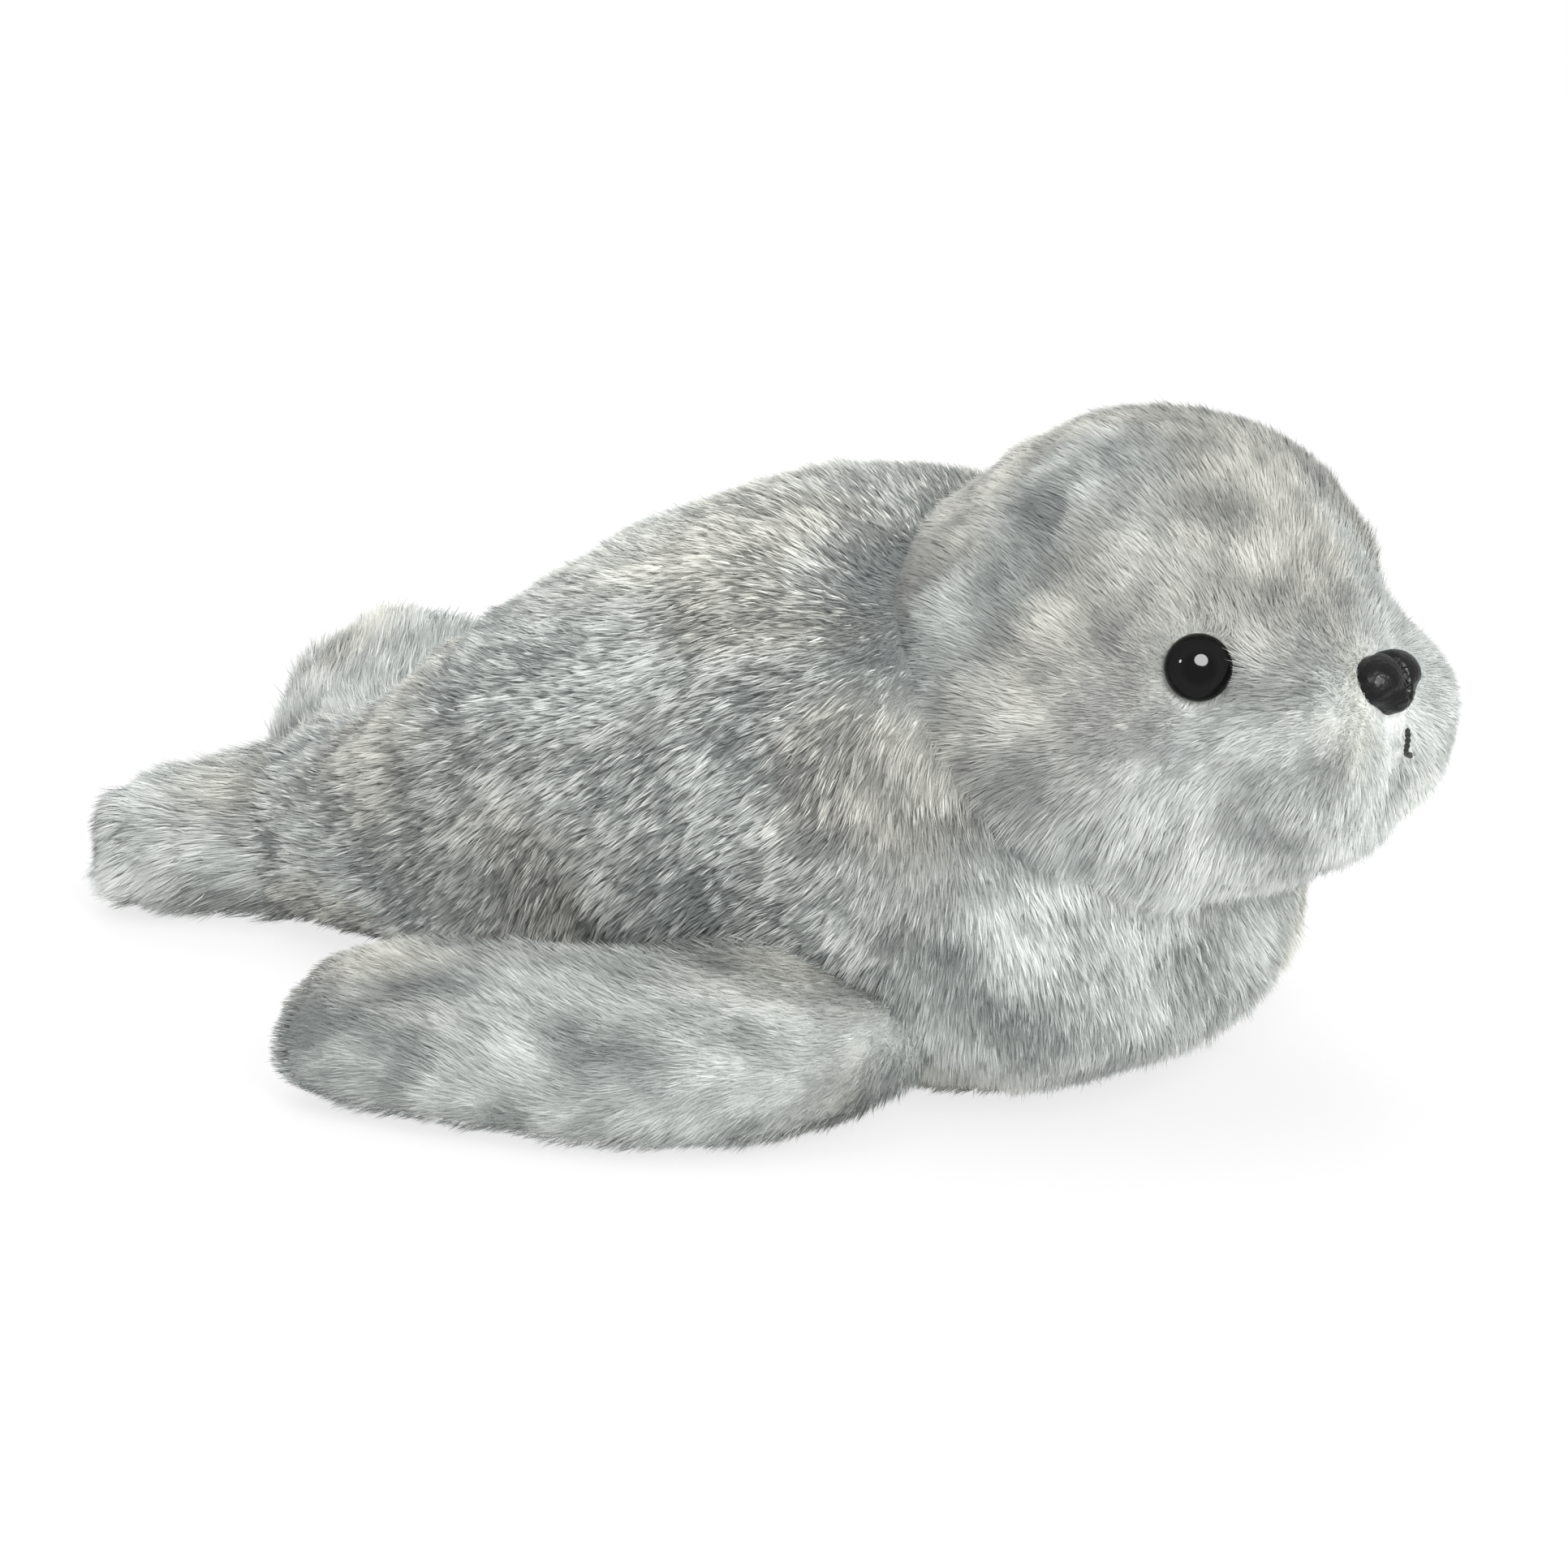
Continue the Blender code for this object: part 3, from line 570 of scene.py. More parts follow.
def lock_of(points, size):
    """The number of the lock that each point belongs to, with a random number of each lock.

    Space is cut into cubes with one seed point in each, at random in its cube, and a point belongs
    to the nearest seed.
    """
    base = np.floor(points / size).astype(np.int64)
    best = np.full(len(points), 9.0)
    key = np.zeros(len(points), np.int64)
    luck = np.zeros(len(points))
    for step in np.ndindex(3, 3, 3):
        cell = base + np.array(step) - 1
        seed = np.stack([mixed(cell, s) for s in (1, 2, 3)], -1)
        away = np.linalg.norm((cell + seed) - points / size, axis=-1)
        nearer = away < best
        best = np.where(nearer, away, best)
        number = (cell[:, 0] + 4096) * 67108864 + (cell[:, 1] + 4096) * 8192 + cell[:, 2] + 4096
        key = np.where(nearer, number, key)
        luck = np.where(nearer, mixed(cell, 7), luck)
    lock = np.unique(key, return_inverse=True)[1]
    return lock.ravel(), luck


def lock_mean(lock, value):
    """Each lock's mean of a value, given back to all its blades."""
    count = np.bincount(lock)
    return np.stack([np.bincount(lock, value[:, i]) / count for i in range(3)], -1)[lock]


def ripple(points, length, seed):
    """A wavy number about -1 to 1 over space: nine sine waves of about a given length add up."""
    rng = np.random.default_rng(seed)
    total = 0.0
    for _ in range(9):
        way = unit(rng.normal(size=3)) * 2 * math.pi / (length * rng.uniform(0.6, 2.2))
        total = total + np.sin(points @ way + rng.uniform(0, 6.28))
    return total / 3.0


def scatter(grid, count, weight, rng):
    """Places spread evenly over a grid: each one's cell and its share of the way across the cell.

    The cells' weighted areas are added up in a row, and the row is cut into count equal lengths.
    """
    after = np.roll(grid, -1, axis=1)
    a, b, c = grid[1:] - grid[:-1], after[1:] - grid[:-1], after[:-1] - grid[:-1]
    area = np.linalg.norm(np.cross(a, b), axis=-1) + np.linalg.norm(np.cross(b, c), axis=-1)
    middle = (grid[1:] + grid[:-1] + after[1:] + after[:-1]) / 4
    total = np.cumsum((area * weight(middle)).ravel())
    pick = (np.arange(count) + rng.random(count)) / count * total[-1]
    cell = np.minimum(np.searchsorted(total, pick), len(total) - 1)
    i, j = np.divmod(cell, grid.shape[1])
    return i, j, rng.random(count), rng.random(count)


def read_grid(grid, spot):
    """A grid's values at scattered places, from the four corners of each place's cell."""
    i, j, u, v = spot
    k = (j + 1) % grid.shape[1]
    u, v = u[:, None], v[:, None]
    top = grid[i, j] * (1 - v) + grid[i, k] * v
    return top * (1 - u) + (grid[i + 1, j] * (1 - v) + grid[i + 1, k] * v) * u


def depth_under(points, grid, normals, reach):
    """How far points lie under a surface, measured at the nearest of its grid points.

    Points further than reach from the surface count as outside it.
    """
    samples = grid[1::2, ::2].reshape(-1, 3)
    way = normals[1::2, ::2].reshape(-1, 3)
    flat = points.reshape(-1, 3)
    away = (flat**2).sum(1)[:, None] + (samples**2).sum(1)[None] - 2 * flat @ samples.T
    near = away.argmin(axis=1)
    depth = np.sum((samples[near] - flat) * way[near], -1)
    close = np.sqrt(np.maximum(away.min(axis=1), 0.0)) < reach
    return np.where(close, depth, -1.0).reshape(points.shape[:-1])


class Face:
    """The places on the head that its fur leaves free."""

    def __init__(self):
        self.eyes = [seated(surface_frame(EYE_AIM, side), EYE_SUNK, EYE_RAISED) for side in (1, -1)]
        self.nose = seated(surface_frame(NOSE_AIM), NOSE_SUNK, NOSE_RAISED)
        seam = from_neck((0.0, 0.0, 0.0))[2]
        fork = np.array([FORK_ASIDE, seam + MOUTH_FORK])
        ends = np.array([[0.0, seam + MOUTH_TOP],
                         fork + [MOUTH_SPREAD, -MOUTH_DROP], fork + [-MOUTH_SPREAD, -MOUTH_DROP]])
        ends[1:] = fork + (ends[1:] - fork) * MOUTH_SHOWN
        share = np.linspace(0.0, 1.0, 25)[:, None]
        # The upright stitch bows a little to the right, and the left arm draws into the fur
        self.arms = []
        for end, bow, sink in zip(ends, (STITCH_BOW, 0.0, 0.0), (0.0, ARM_SINK, 0.0)):
            line = fork + (end - fork) * share
            line[:, :1] -= bow * np.sin(math.pi * share)
            self.arms.append(front_of_head(line, THREAD_LIFT - sink * share[:, 0]))

    def eye_gap(self, p):
        """How far points lie from the nearer eye's axis, and the direction away from it."""
        gaps, ways = [], []
        for point, out, _, _ in self.eyes:
            d = p - point
            flat = d - (d @ out)[..., None] * out
            away = np.linalg.norm(flat, axis=-1)
            gaps.append(np.where(d @ out > -0.02, away, 1.0))
            ways.append(unit(flat))
        near = np.argmin(gaps, axis=0)
        return np.min(gaps, axis=0), np.where(near[..., None] == 0, ways[0], ways[1])

    def nose_edge(self, p):
        """How far points lie outside the nose's outline, seen along its axis."""
        point, out, across, up = self.nose
        d = p - point
        x, y = d @ across, d @ up
        gap = np.hypot(x, y) - nose_outline(np.arctan2(y, x)) * NOSE_RADIUS
        return np.where(d @ out > -0.02, gap, 0.1)

    def mouth_gap(self, p):
        """How far points lie from the mouth's thread."""
        thread = np.concatenate(self.arms)
        flat = p.reshape(-1, 3)
        gap = np.full(len(flat), 1.0)
        near = np.linalg.norm(flat - thread.mean(axis=0), axis=-1) < 0.02
        gap[near] = np.linalg.norm(flat[near][:, None] - thread[None], axis=-1).min(axis=1)
        return gap.reshape(p.shape[:-1])


def along_surface(way, normal):
    """Directions laid flat on a surface."""
    return unit(way - np.sum(way * normal, -1, keepdims=True) * normal)


def drawn_out(p, grain):
    """Points moved so that a pattern over them is drawn out along grain, by the share STREAK."""
    return p - STREAK * np.sum(p * grain, -1, keepdims=True) * grain


def grow(root, normal, flow, length, rise, soft, grain, rng):
    """Blades of fur as arrays: four points each, with their fields.

    A blade leaves its root at the angle rise, bends down towards the flow, and narrows to both
    ends from its widest place. The blades of one lock lean together: each tip is drawn towards
    the mean of the lock's tips, and in fine wisps again. Where the pile is soft, from 0 to 1, it
    lies lower and its locks are looser and more alike. The dye's streaks run along grain.
    """
    settings = bpy.context.scene.seal_fur
    count = len(root)
    lock, luck = lock_of(root, settings.lock_size)
    wisp, fate = lock_of(root, settings.lock_size * WISP)
    turn = (0.32 * ripple(root, 0.045, 11) + 0.35 * (luck - 0.5) * (1.0 - 0.5 * soft)
            + rng.normal(0.0, 0.17, count))
    side = np.cross(normal, flow)
    flow = flow * np.cos(turn)[:, None] + side * np.sin(turn)[:, None]
    swell = ripple(root, SWELL_LENGTH, SWELL_SEED)
    length = length * (0.86 + 0.28 * luck) * rng.uniform(0.72, 1.18, count) * (1.0 + 0.13 * swell)
    stray = rng.random(count) < STRAYS
    first = (rise * (1.0 - 0.22 * soft) + 0.12 * swell + rng.normal(0.0, 0.12, count)
             + np.where(stray, 0.3, 0.0))
    last = first * (0.58 + 0.06 * soft) + rng.normal(0.0, 0.12, count) + np.where(stray, 0.25, 0.0)
    base = root - normal * 0.3 * MM
    mid, tip = (
        (normal * np.sin(angle)[:, None] + flow * np.cos(angle)[:, None]) * (part * length)[:, None]
        for angle, part in ((first, WIDEST), (last, 1.0 - WIDEST)))
    mid += base
    tip += mid
    pull = (np.where(stray, 0.1, 0.38) * (1.0 - 0.60 * soft))[:, None]
    mid += (lock_mean(lock, mid) - mid) * pull * 0.3
    tip += (lock_mean(lock, tip) - tip) * pull
    tip += (lock_mean(wisp, tip) - tip) * (0.55 * (1.0 - 0.7 * soft))[:, None]
    for part in (mid, tip):
        part[:, 2] = np.maximum(part[:, 2], 0.4 * MM)
    axis = unit(tip - base)
    roll = rng.normal(0.0, 0.5, count)
    wide = unit(np.cross(axis, normal))
    wide = unit(wide * np.cos(roll)[:, None] + np.cross(axis, wide) * np.sin(roll)[:, None])
    half = settings.blade_width / 2 * rng.uniform(0.75, 1.25, count) * (1.3 - 0.55 * soft)
    points = np.stack([base, mid - wide * half[:, None], mid + wide * half[:, None], tip], 1)
    face = unit(np.cross(wide, axis))
    face *= np.where(np.sum(face * normal, -1) < 0, -1.0, 1.0)[:, None]
    own = (0.42 - 0.32 * soft)[:, None]
    shade = unit(face * own + normal * (1.0 - own))
    # Painted highlights: some wisps are paler as glints, and some darker as painted shade between
    # locks
    glint = np.where(fate > 0.90, 0.9, 0.0) - np.where(fate < 0.08, 0.7, 0.0)
    tint = 0.65 * (luck - 0.5) + (fate - 0.5) + 0.6 * (rng.random(count) - 0.5) + glint
    middle = lock_mean(lock, root)
    return {
        "points": points,
        "normals": np.repeat(shade[:, None], 4, axis=1),
        "face": face,
        "lock": middle,
        "place": drawn_out(middle, grain),
        # Painted shade follows the swells: paler where the pile stands, darker where it thins
        "tint": tint * (1.0 - 0.85 * soft) + SWELL_SHADE * swell,
        "soft": soft,
        "shade": dye_and_painted_shade(middle),
    }


def fur_object(name, blades, keep, finish):
    """The kept blades as one mesh, with a cell of the bake map for each blade."""
    points = blades["points"][keep]
    count = len(points)
    start = np.arange(count)[:, None] * 4
    pattern = np.array([[0, 2, 1], [1, 2, 3]])
    faces = (start[:, :, None] + pattern[None]).reshape(-1, 3)
    a, b, c = (points[:, i] for i in (1, 2, 3))
    wrong = np.sum(np.cross(b - a, c - a) * blades["face"][keep], -1) < 0
    flip = np.repeat(wrong, 2)
    faces[flip] = faces[flip][:, ::-1]
    across = int(math.ceil(math.sqrt(count)))
    row, column = np.divmod(np.arange(count), across)
    corner = np.array([[0.5, 0.04], [0.06, 0.42], [0.94, 0.42], [0.5, 0.96]])
    cells = (np.stack([column, row], -1)[:, None] + corner[None]) / across
    fields = {key: np.repeat(blades[key][keep], 4, axis=0)
              for key in ("place", "tint", "soft", "shade")}
    fields["pile"] = np.tile([0.0, WIDEST, WIDEST, 1.0], count)
    return mesh_object(name, points.reshape(-1, 3), faces, finish,
                       blades["normals"][keep].reshape(-1, 3), fields, cells.reshape(-1, 2))


# ---------------------------------------------------------------- finishes


def add(tree, kind, inputs=None, stops=None, **settings):
    """Add a node: settings go on the node, and inputs are values or (node, output) to link from."""
    item = tree.nodes.new(kind)
    for key, value in settings.items():
        setattr(item, key, value)
    for key, value in (inputs or {}).items():
        if isinstance(value, tuple) and isinstance(value[0], bpy.types.Node):
            tree.links.new(value[0].outputs[value[1]], item.inputs[key])
        else:
            item.inputs[key].default_value = value
    if stops:
        ramp = item.color_ramp.elements
        while len(ramp) < len(stops):
            ramp.new(0.5)
        for element, (place, colour) in zip(ramp, stops):
            element.position = place
            element.color = colour
    return item


def new_finish(name, shader):
    """An empty material with a Principled shader of the given values, and its node tree."""
    finish = bpy.data.materials.new(name)
    finish.use_nodes = True
    tree = finish.node_tree
    main = tree.nodes["Principled BSDF"]
    for key, value in shader.items():
        main.inputs[key].default_value = value
    return finish, tree, main


def fur_finish(settings, name, fuzz):
    """Tip-dyed acrylic pile, woven in locks: soft mottled greys, pale tips, and roots darkened by
    dye and painted shade.

    The underfur has fuzz: specks and bumps as small as its hairs' ends.
    """
    finish, tree, main = new_finish(name, {
        "Roughness": 0.48, "Specular IOR Level": 0.36, "Sheen Weight": 0.2,
        "Sheen Roughness": 0.5,
    })
    place, tint, shade, pile, soft = (
        add(tree, "ShaderNodeAttribute", attribute_name=key)
        for key in ("place", "tint", "shade", "pile", "soft"))
    # Dyed patches 15 to 30 mm across, flecks of about 6 mm within them, and a slow drift of hue
    patch, fleck, hue = (
        add(tree, "ShaderNodeTexNoise", {"Vector": (place, "Vector"), "Scale": scale,
                                         "Detail": detail, "Roughness": rough, "Distortion": bend})
        for scale, detail, rough, bend in ((62.0, 2.0, 0.62, 0.0), (165.0, 1.0, 0.5, 0.0),
                                           (27.0, 1.0, 0.5, 0.4)))
    both = add(tree, "ShaderNodeMath", {0: (patch, "Fac"), 1: 1.7, 2: -0.85},
               operation="MULTIPLY_ADD")
    # The field shade is partly dye and partly painted light and shade, and tint carries painted
    # glints
    parts = [(fleck, 0.9), (tint, 0.60), (shade, 1.0)]
    if fuzz:
        spot = add(tree, "ShaderNodeTexCoord")
        hairs = add(tree, "ShaderNodeTexNoise", {"Vector": (spot, "Object"), "Scale": 1500.0,
                                                 "Detail": 2.0, "Roughness": 0.7})
        parts.append((hairs, fuzz))
        bump = add(tree, "ShaderNodeBump", {"Height": (hairs, "Fac"), "Strength": 0.6,
                                            "Distance": 0.4 * MM})
        tree.links.new(bump.outputs["Normal"], main.inputs["Normal"])
    for source, amount in parts:
        both = add(tree, "ShaderNodeMath", {0: (source, "Fac"), 1: amount, 2: (both, "Value")},
                   operation="MULTIPLY_ADD")
    if fuzz:
        both = add(tree, "ShaderNodeMath", {0: (both, "Value"), 1: 0.5 * fuzz},
                   operation="SUBTRACT")
    warm, cool = (
        add(tree, "ShaderNodeValToRGB", {"Fac": (both, "Value")},
            stops=[(i / 2, rgba(colour)) for i, colour in enumerate(dyes)])
        for dyes in ((settings.dark, settings.mid, settings.light),
                     (settings.cool_dark, settings.cool, settings.cool_light)))
    side = add(tree, "ShaderNodeMapRange", {"Value": (hue, "Fac"), "From Min": 0.42,
                                            "From Max": 0.58})
    dye = add(tree, "ShaderNodeMix", {0: (side, "Result"), 6: (warm, "Color"), 7: (cool, "Color")},
              data_type="RGBA")
    # Darker towards the roots, partly by dye and partly as painted shade deep in the pile; less so
    # where the pile is soft
    deep = add(tree, "ShaderNodeMath", {0: (soft, "Fac"), 1: -0.60, 2: 0.85},
               operation="MULTIPLY_ADD")
    deep = add(tree, "ShaderNodeMath", {0: (pile, "Fac"), 1: -1.6, 2: (deep, "Value")},
               operation="MULTIPLY_ADD", use_clamp=True)
    coat = add(tree, "ShaderNodeMix", {0: (deep, "Value"), 6: (dye, 2), 7: rgba(settings.root)},
               data_type="RGBA", blend_type="MULTIPLY")
    tree.links.new(coat.outputs[2], main.inputs["Base Color"])
    return finish


def gloss_finish(settings):
    """Moulded black acrylic eye, polished: near black, with a painted reflection as a paler ring
    near its rim.
    """
    finish, tree, main = new_finish("polished_black_acrylic", {
        "Roughness": 0.05, "Specular IOR Level": 0.16, "IOR": 1.49,
    })
    ring = add(tree, "ShaderNodeAttribute", attribute_name="spoke")
    # The paler ring near the rim is a painted reflection
    shades = add(tree, "ShaderNodeValToRGB", {"Fac": (ring, "Fac")}, stops=(
        (0.40, rgba(linear("#020203"))), (0.60, rgba(settings.eye_reflection_ring)),
        (0.92, rgba(linear("#050505")))))
    tree.links.new(shades.outputs["Color"], main.inputs["Base Color"])
    return finish


def nose_finish(settings):
    """Moulded black vinyl nose with a fine leathery grain, so that its gloss is broken up."""
    finish, tree, main = new_finish("grained_black_vinyl", {
        "Base Color": rgba(settings.nose_colour), "Roughness": 0.34, "Specular IOR Level": 0.24,
    })
    spot = add(tree, "ShaderNodeTexCoord")
    grain = add(tree, "ShaderNodeTexVoronoi", {"Vector": (spot, "Object"), "Scale": 1400.0})
    cloud = add(tree, "ShaderNodeTexNoise", {"Vector": (spot, "Object"), "Scale": 420.0,
                                             "Detail": 3.0})
    rough = add(tree, "ShaderNodeMapRange", {"Value": (cloud, "Fac"), "From Min": 0.3,
                                             "From Max": 0.7, "To Min": 0.24, "To Max": 0.5})
    height = add(tree, "ShaderNodeMath", {0: (grain, "Distance"), 1: (cloud, "Fac")},
                 operation="ADD")
    bump = add(tree, "ShaderNodeBump", {"Height": (height, "Value"), "Strength": 0.35,
                                        "Distance": 0.25 * MM})
    tree.links.new(rough.outputs["Result"], main.inputs["Roughness"])
    tree.links.new(bump.outputs["Normal"], main.inputs["Normal"])
    return finish


def clouded_finish(name, shader, noise, colours):
    """A material whose colour drifts between two as a noise does, with its parts for more nodes."""
    finish, tree, main = new_finish(name, shader)
    spot = add(tree, "ShaderNodeTexCoord")
    cloud = add(tree, "ShaderNodeTexNoise", {"Vector": (spot, "Object"), **noise})
    shades = add(tree, "ShaderNodeValToRGB", {"Fac": (cloud, "Fac")}, stops=[
        (place, rgba(linear(code))) for place, code in zip((0.3, 0.7), colours)])
    tree.links.new(shades.outputs["Color"], main.inputs["Base Color"])
    return finish, tree, main, cloud


def thread_finish():
    """Black polyester sewing thread: two dull strands with a soft shine along them."""
    return clouded_finish("black_polyester_thread", {
        "Roughness": 0.6, "Sheen Weight": 0.3, "Specular IOR Level": 0.3,
    }, {"Scale": 3000.0}, ("#0b0b0c", "#1d1d1f"))[0]


def filling_finish():
    """Carded polyester fibre: white, soft and cloudy, with clumps of about 10 mm."""
    finish, tree, main, clump = clouded_finish("carded_polyester_fibre", {
        "Roughness": 1.0, "Sheen Weight": 0.4, "Specular IOR Level": 0.1,
    }, {"Scale": 100.0, "Detail": 6.0, "Roughness": 0.7}, ("#cfcfca", "#f2f2ee"))
    bump = add(tree, "ShaderNodeBump", {"Height": (clump, "Fac"), "Strength": 0.8,
                                        "Distance": 1.5 * MM})
    tree.links.new(bump.outputs["Normal"], main.inputs["Normal"])
    return finish


def washer_finish():
    """Moulded polypropylene washer: milky white and slightly waxy, with a faint mould texture."""
    return clouded_finish("milky_polypropylene", {
        "Roughness": 0.45, "Specular IOR Level": 0.4,
    }, {"Scale": 260.0}, ("#dcdcd4", "#e9e9e3"))[0]


def seen_directly(tree):
    """1 on rays from the camera, from gloss and through glass, 0 on the rays that only light."""
    path = add(tree, "ShaderNodeLightPath")
    seen = add(tree, "ShaderNodeMath", {0: (path, "Is Camera Ray"), 1: (path, "Is Glossy Ray")},
               operation="MAXIMUM")
    return add(tree, "ShaderNodeMath", {0: (seen, "Value"), 1: (path, "Is Transmission Ray")},
               operation="MAXIMUM")


def floor_finish(settings):
    """Matt white studio sweep: white to the camera and in gloss, with the seal's shadow on it."""
    finish, tree, main = new_finish("matt_white_sweep", {
        "Base Color": rgba(settings.floor_colour), "Roughness": 0.9, "Specular IOR Level": 0.1,
    })
    seen = seen_directly(tree)
    # Far from the seal nothing is left but white, so that the floor has no edge
    spot = add(tree, "ShaderNodeTexCoord")
    away = add(tree, "ShaderNodeVectorMath", {0: (spot, "Object")}, operation="LENGTH")
    fade = add(tree, "ShaderNodeMapRange", {"Value": (away, "Value"), "From Min": 0.3,
                                            "From Max": 1.0, "To Min": 0.78, "To Max": 1.0})
    part = add(tree, "ShaderNodeMath", {0: (seen, "Value"), 1: (fade, "Result")},
               operation="MULTIPLY")
    white = add(tree, "ShaderNodeEmission", {"Color": (1.0, 1.0, 1.0, 1.0), "Strength": 1.0})
    mixed_in = add(tree, "ShaderNodeMixShader", {0: (part, "Value"), 1: (main, "BSDF"),
                                                 2: (white, "Emission")})
    out = tree.nodes["Material Output"]
    tree.links.new(mixed_in.outputs[0], out.inputs["Surface"])
    return finish


# ---------------------------------------------------------------- settings


def length(name, description, default, low, high):
    """A setting for a length, from low to high."""
    return bpy.props.FloatProperty(name=name, description=description, default=default,
                                   min=low, max=high, unit="LENGTH")


def colour(name, description, code):
    """A setting for a colour."""
    return bpy.props.FloatVectorProperty(name=name, description=description,
                                         default=linear(code), subtype="COLOR")


def power(name, description, default):
    """A setting for a lamp's power."""
    return bpy.props.FloatProperty(name=name, description=description, default=default,
                                   min=0.0, unit="POWER")


class SealFurSettings(bpy.types.PropertyGroup):
    """The sizes and colours of the seal's fur."""

    pile_length: length("Pile length", "Length of the body's free hair",
                        4.8 * MM, 1.0 * MM, 30.0 * MM)
    lock_size: length("Lock size", "Width of a lock, whose hairs lean together",
                      2.6 * MM, 1.0 * MM, 15.0 * MM)
    blade_width: length("Hair width", "Width of one blade, which stands for a few hairs",
                        0.20 * MM, 0.05 * MM, 2.0 * MM)
    light: colour("Light", "Palest warm dye", "#f2f2ea")
    mid: colour("Middle", "Middle warm dye", "#c3c3bc")
    dark: colour("Dark", "Darkest warm dye", "#8b8c88")
    cool_light: colour("Cool light", "Palest cool dye", "#ebefec")
    cool: colour("Cool middle", "Middle cool dye", "#b8bdba")
    cool_dark: colour("Cool dark", "Darkest cool dye", "#828887")
    # The root colour darkens the hair partly as dye and partly as painted shade deep in the pile
    root: colour("Root", "How much darker the hair is near the cloth", "#8e9293")


class SealFaceSettings(bpy.types.PropertyGroup):
    """The colours of the seal's eyes and nose, and the eyes' painted reflection ring."""

    # The ring is a painted reflection on the black eye
    eye_reflection_ring: colour("Eye ring", "Colour of the ring near the eye's rim", "#0f0f0f")
    nose_colour: colour("Nose", "Colour of the moulded nose", "#08080a")


class SealStageSettings(bpy.types.PropertyGroup):
    """The floor and the lamps' levels."""

    floor_colour: colour("Floor", "Colour of the floor", "#f4f4f4")
    top_power: power("Top lamp", "Power of the large lamp overhead", 5.2)
    key_power: power("Key lamp", "Power of the lamp in front of the seal", 12.0)
    back_power: power("Back lamp", "Power of the lamp behind the seal", 9.0)
    sky_level: bpy.props.FloatProperty(
        name="Sky", description="Strength of the even light from all round", default=0.63,
        min=0.0)


# ---------------------------------------------------------------- pieces


def stands_for(ob, node):
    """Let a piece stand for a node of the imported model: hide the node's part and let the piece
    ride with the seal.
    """
    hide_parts(node)
    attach(ob, "root")


def dye_and_painted_shade(p):
    """Where the coat is paler (above 0) or darker (below 0), by dye and by painted light and shade.

    Soft blobs are added up, alike on both sides, and a painted shadow darkens the neck seam.
    """
    total = np.zeros(len(p))
    folded = np.column_stack([p[:, 0], np.abs(p[:, 1]), p[:, 2]])
    for x, y, z, wide, amount in DYE_AND_SHADE_BLOBS:
        away = np.linalg.norm(folded - np.array([x, y, z]), axis=-1)
        total += amount * np.exp(-((away / wide) ** 2))
    # Painted shadow along the neck seam's crease, strongest up its side
    seam, high = neck_gap(p)
    total -= (0.04 + 0.42 * high) * np.exp(-((seam / 0.006) ** 2))
    return total


def neck_gap(p):
    """How far points lie in front of the neck seam, and from 0 to 1 how high up its side."""
    centre, out = neck_plane()
    return (p - centre) @ out, soft_step(p[..., 2], *SEAM_SHOWS)


def filled_neck(grid, rise):
    """A grid raised by up to rise beside the lower neck seam, so that no groove shows there.

    The rise is a round hill across the seam; it leaves the throat and the upper neck as they are.
    The hill's share at each point is given back too.
    """
    seam, high = neck_gap(grid)
    share = (1.0 - high) * np.exp(-((seam / FOLD_WIDTH) ** 2))
    share *= soft_step(np.abs(grid[:, :, 1]), 0.006, 0.028) * (grid[:, :, 2] > 8 * MM)
    out = neck_plane()[1]
    way = grid_normals(grid)
    way = unit(way - (way @ out)[:, :, None] * out)
    return grid + way * (rise * share)[:, :, None], share


def joined(grid, others):
    """A grid raised where it meets other surfaces, so that they run into each other in a fillet.

    At the depth d under another surface the rise is FILLET * log(1 + exp(d / FILLET)), and never
    more than where the two meet.
    """
    low = grid[:, :, 2].min()
    rise = np.zeros(grid.shape[:2])
    for other, ways in others:
        depth = np.minimum(depth_under(grid, other, ways, FILLET_REACH), 0.0)
        rise = np.maximum(rise, FILLET * np.log1p(np.exp(depth / FILLET)))
    grid = grid + grid_normals(grid) * rise[:, :, None]
    grid[:, :, 2] = np.maximum(grid[:, :, 2], low)
    return grid


def torso_flow(p):
    """How the torso's pile lies: back on the spine, down the flanks, straight down the chest."""
    beside = np.abs(p[:, 1]) / TORSO_HALF_WIDTH
    chest = soft_step(p[:, 0], *CHEST)
    down = -0.15 - 0.75 * soft_step(beside, 0.25, 0.95) - 1.6 * chest
    down *= np.where(p[:, 2] < 0.006, 0.0, 1.0)
    back = -1.0 + 1.15 * chest
    return unit(np.stack([back, 0.12 * np.sign(p[:, 1]) * beside, down], -1))


def head_flow(p, face):
    """How the head's pile lies: away from the nose, down the cheeks and back over the crown."""
    point = face.nose[0]
    way = unit(p - (point - np.array([0.010, 0.0, 0.0])))
    low = soft_step(-(p[:, 2] - from_neck((0, 0, 4))[2]), -0.004, 0.022)
    brow = soft_step(p[:, 2], 0.092, 0.110) * soft_step(p[:, 0], 0.085, 0.110)
    way = unit(way + np.array([0.0, 0.0, -0.75]) * low[:, None]
               + np.array([0.0, 0.0, 0.5]) * brow[:, None] + np.array([-0.25, 0.0, 0.0]))
    gap, away = face.eye_gap(p)
    near = 0.8 * np.exp(-np.maximum(gap - EYE_DIAMETER / 2, 0.0) / (2.4 * MM))[:, None]
    return unit(way * (1 - near) + away * near)


def body_soft(p):
    """How soft the torso's pile is: smooth on the chest, and sleek behind it."""
    return 0.55 * soft_step(p[:, 0], *CHEST)


